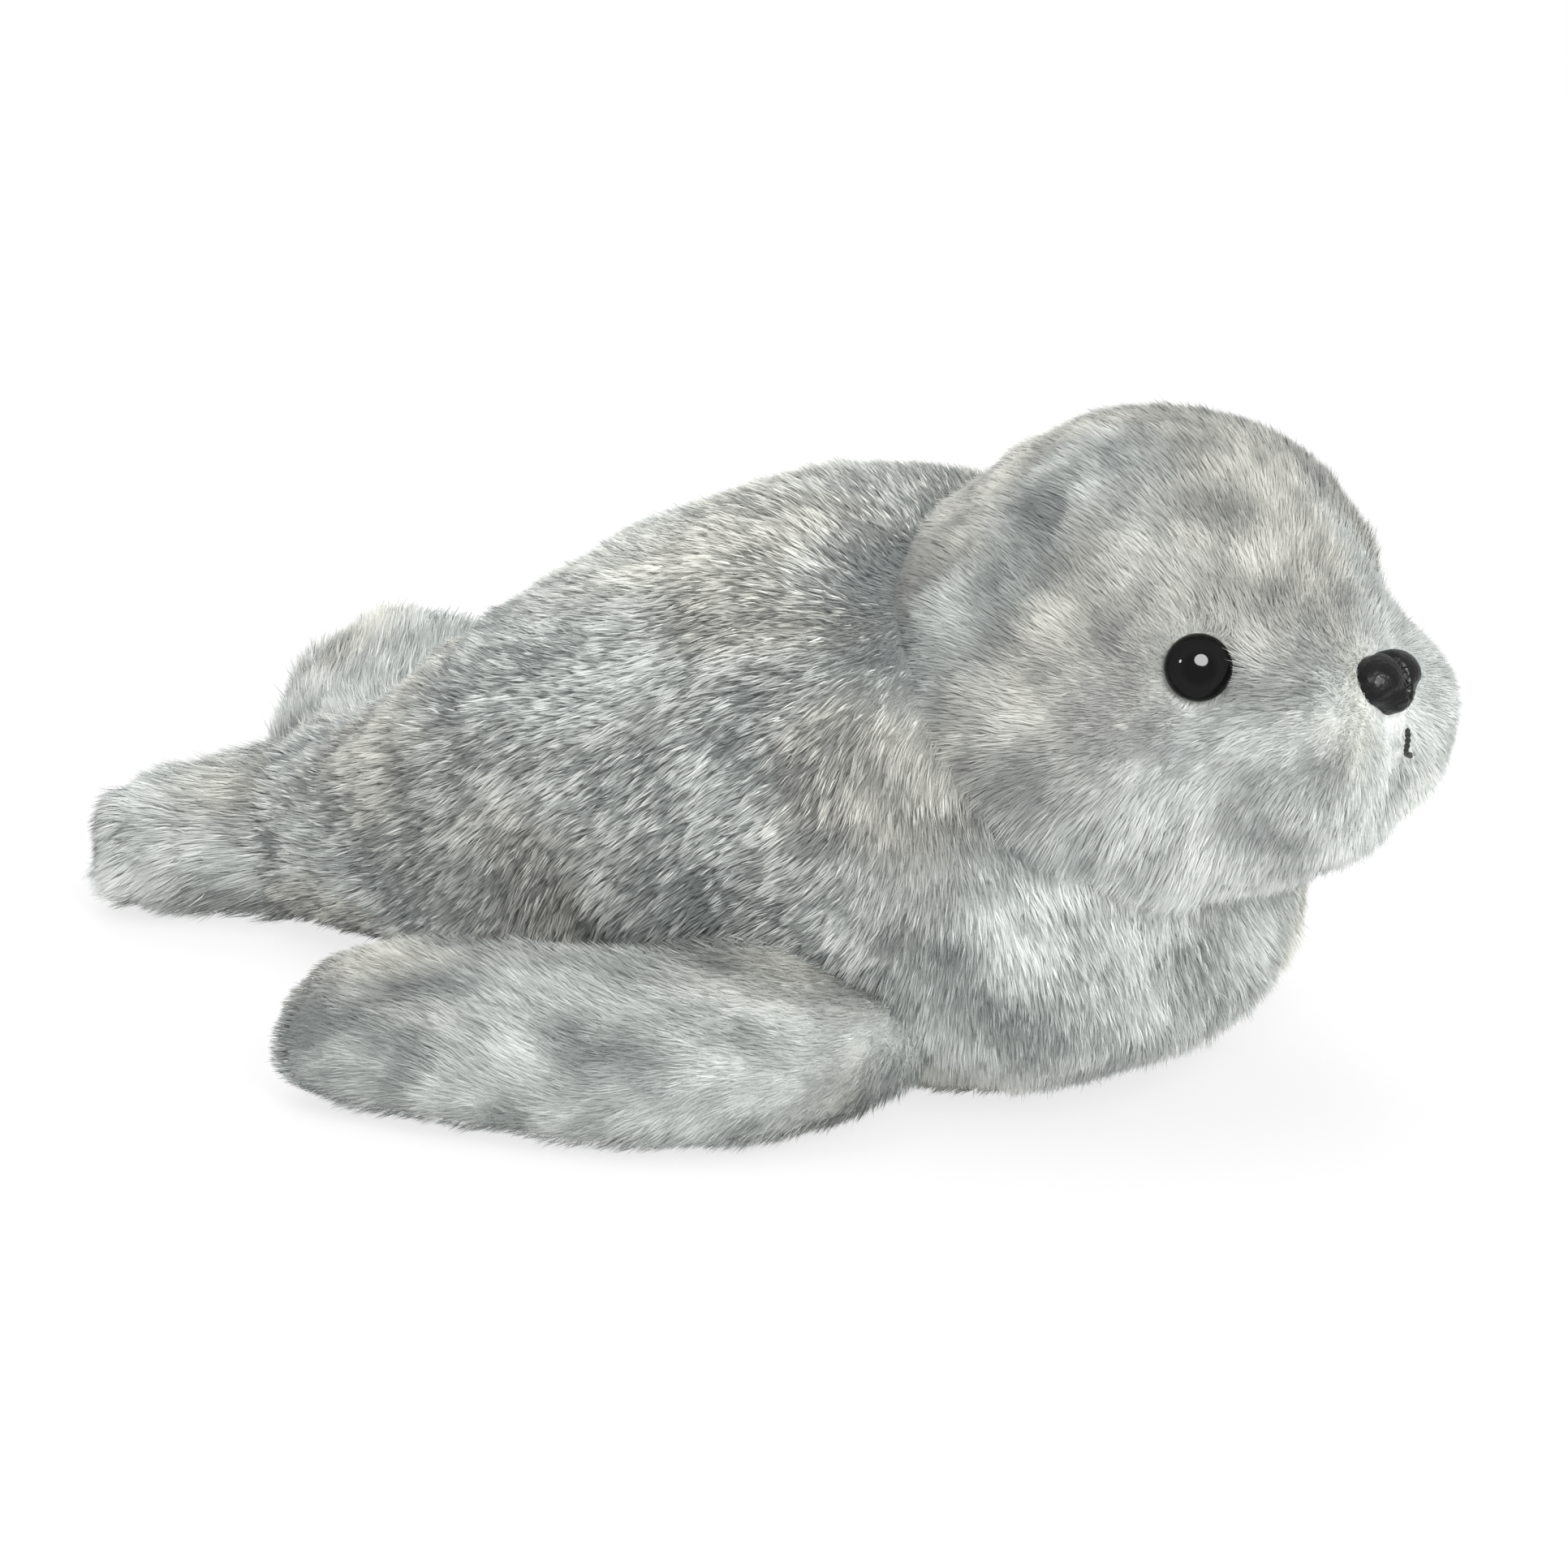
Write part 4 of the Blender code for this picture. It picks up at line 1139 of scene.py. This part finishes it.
def finishes():
    """The hair's and the underfur's materials, made once."""
    settings = bpy.context.scene.seal_fur
    made = bpy.data.materials
    return [made.get(name) or fur_finish(settings, name, fuzz) for name, fuzz in (
        ("tip_dyed_acrylic_pile", 0.0), ("dense_acrylic_underfur", 0.5))]


def cover(name, shell_at, depth, node, soft_of, grain):
    """A stuffed cover's underfur, which stands for its CAD solid and is coloured as its hair,
    painted shade included.
    """
    def fields_of(p):
        return {"pile": np.full(len(p), UNDERFUR_PILE), "place": drawn_out(p, grain),
                "tint": SWELL_SHADE * ripple(p, SWELL_LENGTH, SWELL_SEED), "soft": soft_of(p),
                "shade": dye_and_painted_shade(p)}

    grids = [shell_at(depth + below) for below in (0.0, UNDERFUR)]
    stands_for(underfur_shell(name, *grids, finishes()[1], fields_of), node)


def sow(grid, kind, weight, seed):
    """Hair roots over a grid: the random source, the spots, the roots and the outward ways."""
    rng = np.random.default_rng(seed)
    spot = scatter(grid, BLADES[kind], weight, rng)
    return rng, spot, read_grid(grid, spot), unit(read_grid(grid_normals(grid), spot))


def set_pile(names, blades):
    """Set the blades into one mesh, or into a left and a right one, that ride with the seal."""
    left = blades["lock"][:, 1] > 0
    masks = (left, ~left) if len(names) == 2 else (np.full(len(left), True),)
    for name, mask in zip(names, masks):
        keep = np.flatnonzero(mask)
        if len(keep) > MAX_BLADES:
            raise RuntimeError(f"{name} has {len(keep)} blades, over {MAX_BLADES}")
        ob = fur_object(name, blades, keep, finishes()[0])
        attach(ob, "root")


def flipper_surfaces(kinds, inset, rings, sides):
    """The grids of the flippers of some kinds, each with its outward directions."""
    grids = [flipper_grid(*shape, inset, rings, sides) for kind, _, shape in FLIPPERS
             if kind in kinds]
    return [(grid, grid_normals(grid)) for grid in grids]


class SEAL_OT_body(bpy.types.Operator):
    """Make the torso's underfur and its pile"""

    bl_idname = "seal.body"
    bl_label = "Body"

    def execute(self, context):
        grain = unit(np.array([1.0, 0.0, 0.25]))
        hinds = flipper_surfaces(("hind",), BODY_DEPTH, *FLIPPER_ROOTS)
        others = flipper_surfaces(("front", "hind"), 0.0, 30, 24)

        def shaped(depth, rings, sides):
            grid, fold = filled_neck(torso_grid(rings, sides, depth), BODY_DEPTH - BODY_FOLD)
            return joined(grid, hinds), fold

        def weight(p):
            value = np.where(p[..., 2] < BODY_DEPTH + PRESSED, 0.3, 1.0)
            for other, ways in others:
                value = np.where(depth_under(p, other, ways, HIDDEN_REACH) > HIDDEN, 0.0, value)
            return value

        cover("body_underfur", lambda depth: shaped(depth, *SHELL)[0], BODY_DEPTH, "body_cover",
              body_soft, grain)
        grid, fold = shaped(BODY_DEPTH, *BODY_ROOTS)
        rng, spot, root, normal = sow(grid, "body", weight, SEEDS["body"])
        flow = along_surface(torso_flow(root), normal)
        seam, high = neck_gap(root)
        under = root[:, 2] < BODY_DEPTH + PRESSED
        # The hair is shorter beside the upper neck seam, and longer and flatter on the tail
        size = context.scene.seal_fur.pile_length * (
            1.0 - 0.45 * high * (1 - soft_step(np.abs(seam), 0.0, 0.012)))
        size *= np.where(under, PRESSED_LENGTH, 1.0)
        rise = np.where(under, PRESSED_RISE, RISE)
        tail = 1.0 - soft_step(root[:, 0], *TAIL)
        size *= 1.0 + 0.65 * tail
        rise *= (1.0 - 0.45 * tail) * (1.0 - 0.45 * read_grid(fold[:, :, None], spot)[:, 0])
        set_pile(("body_pile_left", "body_pile_right"),
                 grow(root, normal, flow, size, rise, body_soft(root), grain, rng))
        return {"FINISHED"}


class SEAL_OT_head(bpy.types.Operator):
    """Make the head's underfur and its pile"""

    bl_idname = "seal.head"
    bl_label = "Head"

    def execute(self, context):
        face = Face()
        grain = unit(np.array([0.35, 0.0, 1.0]))

        def shaped(depth, rings, sides):
            return filled_neck(head_grid(rings, sides, depth), HEAD_DEPTH - HEAD_FOLD)

        cover("head_underfur", lambda depth: shaped(depth, *SHELL)[0], HEAD_DEPTH, "head_cover",
              lambda p: np.full(len(p), HEAD_SOFT), grain)
        grid, fold = shaped(HEAD_DEPTH, *HEAD_ROOTS)
        rng, spot, root, normal = sow(grid, "head", lambda p: np.ones(p.shape[:-1]),
                                      SEEDS["head"])
        gap, _ = face.eye_gap(root)
        free = (gap > EYE_CLEAR) & (face.nose_edge(root) > NOSE_CLEAR)
        free &= face.mouth_gap(root + normal * HEAD_DEPTH) > MOUTH_CLEAR
        root, normal = root[free], normal[free]
        flow = along_surface(head_flow(root, face), normal)
        gap, away = face.eye_gap(root)
        nose = face.nose_edge(root)
        mouth = face.mouth_gap(root + normal * HEAD_DEPTH)
        seam, high = neck_gap(root)
        low = soft_step(-root[:, 2], -0.080, -0.050)
        size = context.scene.seal_fur.pile_length * (
            0.72 + 0.08 * soft_step(nose, 0.006, 0.035) + 0.40 * low)
        size *= 0.70 + 0.30 * soft_step(gap, 0.0058, 0.012)
        # Brow tufts stand over each eye, on the side of the bridge
        way = unit(np.stack([0.2 + 0 * gap, -0.75 * np.sign(root[:, 1]), 0.6 + 0 * gap], -1))
        brow = soft_step(np.sum(away * way, -1), 0.1, 0.8)
        brow *= np.exp(-(((gap - 0.010) / 0.005) ** 2))
        size += 3.2 * MM * brow
        # The hair is shorter beside the nose, the mouth and the upper neck seam
        size *= 0.45 + 0.55 * soft_step(nose, 0.0, 0.006)
        size *= 0.45 + 0.55 * soft_step(mouth, 0.001, 0.006)
        size *= 1.0 - 0.3 * high * (1 - soft_step(seam, 0.0, 0.010))
        rise = RISE + 0.15 * brow
        soft = 0.95 - 0.30 * low - 0.12 * soft_step(-root[:, 2], -0.105, -0.080)
        # At the lower neck long hair lies flat over the seam
        fold = read_grid(fold[:, :, None], spot)[free, 0]
        rise *= 1.0 - 0.50 * fold
        size += 2.2 * MM * fold
        set_pile(("head_pile_left", "head_pile_right"),
                 grow(root, normal, flow, size, rise, soft, grain, rng))
        return {"FINISHED"}


class SEAL_OT_flippers(bpy.types.Operator):
    """Make the four flippers' underfur and their pile"""

    bl_idname = "seal.flippers"
    bl_label = "Flippers"

    def execute(self, context):
        torso = torso_grid(60, 48, 0.0)
        ways = grid_normals(torso)
        inner = torso_grid(*BODY_ROOTS, HIND_DEPTH)
        for number, (kind, label, shape) in enumerate(FLIPPERS):
            node = f"{kind}_flipper_cover_{label}"
            front = kind == "front"
            depth, even, stand, share = ((FRONT_DEPTH, FRONT_SOFT, FRONT_RISE, 0.85) if front
                                         else (HIND_DEPTH, HIND_SOFT, HIND_RISE, 1.55))
            meeting = () if front else ((inner, grid_normals(inner)),)
            grid = joined(flipper_grid(*shape, depth, *FLIPPER_ROOTS), meeting)
            way = unit(np.gradient(grid.mean(axis=1)[::-1], axis=0))[::-1]
            grain = unit(way.mean(axis=0))
            cover(f"{kind}_flipper_underfur_{label}",
                  lambda inset: joined(flipper_grid(*shape, inset, *FLIPPER_SHELL), meeting), depth,
                  node, lambda p: np.full(len(p), even), grain)

            def weight(p):
                value = np.where(p[..., 2] < depth + PRESSED, 0.35, 1.0)
                return np.where(depth_under(p, torso, ways, TORSO_REACH) > HIDDEN, 0.0, value)

            rng, spot, root, normal = sow(grid, kind, weight, SEEDS["flippers"] + number)
            run = way[spot[0]]
            flow = along_surface(run + np.array([0.0, 0.0, -0.15]), normal)
            under = root[:, 2] < depth + PRESSED
            size = context.scene.seal_fur.pile_length * share * np.where(under, PRESSED_LENGTH, 1.0)
            rise = np.where(under, PRESSED_RISE, stand)
            # At the tip the hair stands out along the flipper, and round it the hair is shorter
            ahead = soft_step(np.sum(normal * run, -1), 0.1, 0.8)
            rise += 0.50 * ahead
            soft = np.full(len(root), even) * (1.0 - 0.6 * ahead)
            size *= 1.0 - 0.42 * (1.0 - soft_step(spot[0], 8, 24)) * (1.0 - ahead)
            if not front:
                # The hair stands thicker where the flipper leaves the tail, and hides the seam
                close = soft_step(depth_under(root, torso, ways, TORSO_REACH), -12 * MM, 2 * MM)
                close *= ~under
                size *= 1.0 + 0.25 * close
                rise *= 1.0 - 0.3 * close
            set_pile((f"{kind}_flipper_pile_{label}",),
                     grow(root, normal, flow, size, rise, soft, grain, rng))
        return {"FINISHED"}


def turned(name, frame_at, profile, sides, finish, share=np.ones_like, lift=lambda x, y: 0 * x):
    """A face turned round a place's outward axis from a profile of radius and height.

    share scales the front's radius by angle, and lift adds to its height by place. The radius from
    the axis is kept as the field spoke.
    """
    point, out, across, up = frame_at
    angle = np.linspace(0.0, 2 * math.pi, sides, endpoint=False)
    plain, height = profile[1:-1, :1], profile[1:-1, 1:]
    radius = np.where(plain <= 0.7 * POST_DIAMETER, plain, plain * share(angle))
    x, y = radius * np.cos(angle), radius * np.sin(angle)
    front = np.arange(len(height))[:, None] < np.argmin(height > 0)
    height = height + np.where(front, lift(x, y), 0.0)
    first = profile[0, 1] + lift(np.zeros(1), np.zeros(1))[0]
    grid = point + across * x[..., None] + up * y[..., None] + out * height[..., None]
    points, faces = closed_body(point + out * first, grid, point + out * profile[-1, 1])
    spoke = np.concatenate([[0.0], (radius / radius.max()).ravel(), [0.0]])
    return mesh_object(name, points, faces, finish, fields={"spoke": spoke})


def dome_profile(radius, height, seat, steps):
    """Half outline of a moulded face with its post, on a rim that sits seat deep.

    The dome is a quarter of a form a little fuller than an ellipse.
    """
    bend = np.linspace(0.0, math.pi / 2, steps)
    dome = np.column_stack([radius * np.sin(bend) ** (2 / DOME_FULLNESS),
                            height * np.cos(bend) ** (2 / DOME_FULLNESS)])
    dome[0, 0] = dome[-1, 1] = 0.0
    post = POST_DIAMETER / 2
    end = -seat - POST_LENGTH
    foot = np.array([[radius, -seat * 0.5], [radius * 0.96, -seat], [post, -seat],
                     [post, -seat - 0.5 * POST_LENGTH], [post, end + post], [post * 0.6, end],
                     [0.0, end]])
    return np.concatenate([dome, foot])


class SEAL_OT_eyes(bpy.types.Operator):
    """Make the two polished black eyes"""

    bl_idname = "seal.eyes"
    bl_label = "Eyes"

    def execute(self, context):
        finish = gloss_finish(context.scene.seal_face)
        profile = dome_profile(EYE_DIAMETER / 2, EYE_DOME - EYE_SUNK, EYE_SEAT_DEPTH, 26)
        for label, place in zip(("left", "right"), Face().eyes):
            stands_for(turned(f"polished_eye_{label}", place, profile, 64, finish), f"eye_{label}")
        return {"FINISHED"}


def nose_outline(angle):
    """The nose's outline at each angle, as a share of its half width.

    It is a rounded form as wide as the lobes above, drawn in below them and longer at its foot.
    """
    flat = NOSE_HEIGHT / NOSE_WIDTH
    c, s = np.cos(angle), np.sin(angle)
    form = (np.abs(c) ** 2.4 + np.abs(s / flat) ** 2.4) ** (-1 / 2.4)
    for place, wide, amount in ((1.22, 0.42, -0.18), (1.78, 0.42, -0.18), (0.50, 0.20, -0.08),
                                (1.50, 0.30, 0.06)):
        away = np.angle(np.exp(1j * (angle - place * math.pi)))
        form = form * (1.0 + amount * np.exp(-((away / wide) ** 2)))
    return form


def nose_lift(x, y):
    """The nose's forms over its plain dome, as hills and dips of Gaussian shape.

    Two round upper lobes, the crease between them, two nostrils, and fine level wrinkles below.
    """
    beside = np.abs(x)
    lift = 1.0 * MM * np.exp(-(((beside - 4.0 * MM) / (3.3 * MM)) ** 2)
                             - ((y - 1.0 * MM) / (3.6 * MM)) ** 2)
    crease = np.exp(-((x / (0.55 * MM)) ** 2)) * np.exp(-(((y - 1.0 * MM) / (4.6 * MM)) ** 4))
    lift -= 1.2 * MM * crease
    lift -= 0.8 * MM * np.exp(-(((beside - 4.2 * MM) / (1.7 * MM)) ** 2)
                              - ((y + 2.2 * MM) / (0.7 * MM)) ** 2)
    lift += 0.5 * MM * np.exp(-((x / (2.6 * MM)) ** 2) - ((y + 4.4 * MM) / (2.0 * MM)) ** 2)
    lines = np.sin(y * 2 * math.pi / (1.1 * MM) + 900.0 * beside)
    lift += 0.07 * MM * lines * np.exp(-(((y + 3.6 * MM) / (1.8 * MM)) ** 2))
    return lift


class SEAL_OT_nose(bpy.types.Operator):
    """Make the moulded nose with its lobes, groove and nostrils"""

    bl_idname = "seal.nose"
    bl_label = "Nose"

    def execute(self, context):
        finish = nose_finish(context.scene.seal_face)
        profile = dome_profile(NOSE_RADIUS, NOSE_DOME - NOSE_SUNK, NOSE_SEAT_DEPTH, 44)
        stands_for(turned("moulded_nose", Face().nose, profile, 96, finish, nose_outline,
                          nose_lift), "nose")
        return {"FINISHED"}


class SEAL_OT_mouth(bpy.types.Operator):
    """Sew the mouth in twisted black thread"""

    bl_idname = "seal.mouth"
    bl_label = "Mouth"

    def execute(self, context):
        points, faces = [], []
        start = 0
        turn = np.linspace(0.0, 2 * math.pi, 12, endpoint=False)
        thick = 0.5 * THREAD_DIAMETER
        for line in Face().arms:
            # A two-strand thread: the radius has two lobes that turn round it along the thread
            run = unit(np.gradient(line, axis=0))
            side = unit(np.cross(run, np.array([1.0, 0.0, 0.0])))
            front = np.cross(side, run)
            far = np.concatenate([[0.0], np.cumsum(np.linalg.norm(np.diff(line, axis=0), axis=1))])
            twist = 2 * math.pi * far / THREAD_TWIST
            swell = thick * (0.84 + 0.16 * np.cos(2 * (turn[None] - twist[:, None])))
            ends = np.minimum(far, far[-1] - far)
            swell *= np.sqrt(np.clip(ends / thick, 0.05, 1.0))[:, None]
            middle = line + front * 0.5 * THREAD_DIAMETER
            ring = (middle[:, None] + side[:, None] * (swell * np.cos(turn))[..., None]
                    + front[:, None] * (swell * np.sin(turn))[..., None])
            tube, sheet = closed_body(middle[0], ring, middle[-1])
            points.append(tube)
            faces.append(sheet + start)
            start += len(tube)
        ob = mesh_object("mouth_thread", np.concatenate(points), np.concatenate(faces),
                         thread_finish())
        stands_for(ob, "mouth_stitches")
        return {"FINISHED"}


class SEAL_OT_inside(bpy.types.Operator):
    """Make the fibre filling of each cover, and finish the washers, whose CAD shape is right"""

    bl_idname = "seal.inside"
    bl_label = "Filling and washers"

    def execute(self, context):
        fibre, washer = filling_finish(), washer_finish()
        grids = {"body_filling": torso_grid(40, 56, FILLING_DEPTH),
                 "head_filling": head_grid(36, 56, FILLING_DEPTH)}
        for kind, label, shape in FLIPPERS:
            grids[f"{kind}_flipper_filling_{label}"] = flipper_grid(*shape, FILLING_DEPTH, 20, 28)
        for node, grid in grids.items():
            # Tufts of fibre leave the surface lumpy, up to 1 mm inwards
            lumps = LUMP * (1.0 + ripple(grid, 0.02, 9))
            grid = grid - grid_normals(grid) * lumps[..., None]
            points, faces = closed_body(grid[0, 0], grid[1:], grid[-1].mean(axis=0))
            ob = mesh_object(node.replace("filling", "fibre"), points, faces, fibre)
            stands_for(ob, node)
        for name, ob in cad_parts.items():
            if "washer" in name:
                for place in ob.material_slots:
                    place.material = washer
        return {"FINISHED"}


def look_from(ob, azimuth, elevation, away):
    """Link a lamp or camera, away from the seal at these angles in degrees and turned to it."""
    a, e = math.radians(azimuth), math.radians(elevation)
    back = Vector((math.sin(a) * math.cos(e), -math.cos(a) * math.cos(e), math.sin(e)))
    ob.location = Vector(CAMERA_AIM) + back * away
    ob.rotation_mode = "QUATERNION"
    ob.rotation_quaternion = (-back).to_track_quat("-Z", "Y")
    bpy.context.scene.collection.objects.link(ob)


class SEAL_OT_stage(bpy.types.Operator):
    """Make the floor, the lamps, the even sky and the camera"""

    bl_idname = "seal.stage"
    bl_label = "Stage"

    def execute(self, context):
        scene = context.scene
        settings = scene.seal_stage
        ring = np.linspace(0.0, 2 * math.pi, FLOOR_SIDES, endpoint=False)
        rim = np.column_stack([np.cos(ring), np.sin(ring), 0 * ring]) * FLOOR_RADIUS
        faces = sheet_triangles(1, FLOOR_SIDES)
        mesh_object("studio_floor", np.concatenate([np.zeros((1, 3)), rim]), faces,
                             floor_finish(settings))

        world = bpy.data.worlds.new("even_sky")
        world.use_nodes = True
        scene.world = world
        tree = world.node_tree
        sky = tree.nodes["Background"]
        level = add(tree, "ShaderNodeMapRange", {
            "Value": (seen_directly(tree), "Value"), "To Min": settings.sky_level, "To Max": 1.0})
        sky.inputs["Color"].default_value = (1.0, 1.0, 1.0, 1.0)
        tree.links.new(level.outputs["Result"], sky.inputs["Strength"])

        for name, azimuth, elevation, away, size, energy in (
            ("top_lamp", 20.0, 78.0, 1.3, 1.0, settings.top_power),
            ("key_lamp", 66.0, 30.0, 1.4, 0.8, settings.key_power),
            ("back_lamp", 232.0, 42.0, 1.4, 1.0, settings.back_power),
            ("eye_lamp", 46.0, 25.0, 1.5, 0.54, CATCH_LIGHTS["eye_lamp"]),
            ("glint_lamp", 2.0, 23.0, 1.5, 0.16, CATCH_LIGHTS["glint_lamp"]),
        ):
            lamp = bpy.data.lights.new(name, "AREA")
            lamp.shape = "DISK"
            lamp.size = size
            lamp.energy = energy
            ob = bpy.data.objects.new(name, lamp)
            ob.visible_diffuse = name not in CATCH_LIGHTS
            ob.visible_glossy = name in CATCH_LIGHTS
            look_from(ob, azimuth, elevation, away)

        lens = bpy.data.cameras.new("studio_camera")
        lens.lens = CAMERA_LENS
        lens.sensor_width = SENSOR_WIDTH
        lens.clip_start, lens.clip_end = 0.05, 50.0
        camera = bpy.data.objects.new("studio_camera", lens)
        look_from(camera, CAMERA_AZIMUTH, CAMERA_ELEVATION, CAMERA_DISTANCE)
        scene.camera = camera
        scene.view_settings.view_transform = "Standard"
        return {"FINISHED"}


class SEAL_PT_panel(bpy.types.Panel):
    """Lists the seal's pieces and their settings"""

    bl_idname = "SEAL_PT_panel"
    bl_label = "Plush seal"
    bl_space_type = "VIEW_3D"
    bl_region_type = "UI"
    bl_category = "Plush seal"

    def draw(self, context):
        for kind in OPERATORS:
            self.layout.operator(kind.bl_idname)
        for group in ("seal_fur", "seal_face", "seal_stage"):
            settings = getattr(context.scene, group)
            for key in settings.__annotations__:
                self.layout.prop(settings, key)


OPERATORS = (SEAL_OT_stage, SEAL_OT_body, SEAL_OT_head, SEAL_OT_flippers, SEAL_OT_eyes,
             SEAL_OT_nose, SEAL_OT_mouth, SEAL_OT_inside)
CLASSES = (SealFurSettings, SealFaceSettings, SealStageSettings) + OPERATORS + (SEAL_PT_panel,)


def register():
    """Add the classes, and the settings on the scene."""
    for kind in CLASSES:
        bpy.utils.register_class(kind)
    bpy.types.Scene.seal_fur = bpy.props.PointerProperty(type=SealFurSettings)
    bpy.types.Scene.seal_face = bpy.props.PointerProperty(type=SealFaceSettings)
    bpy.types.Scene.seal_stage = bpy.props.PointerProperty(type=SealStageSettings)


def unregister():
    """Take the settings and the classes away again."""
    for group in ("seal_fur", "seal_face", "seal_stage"):
        delattr(bpy.types.Scene, group)
    for kind in reversed(CLASSES):
        bpy.utils.unregister_class(kind)


def main():
    """Register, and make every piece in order."""
    register()
    for kind in OPERATORS:
        group, name = kind.bl_idname.split(".")
        getattr(getattr(bpy.ops, group), name)()
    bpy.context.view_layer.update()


if __name__ == "__main__":
    main()
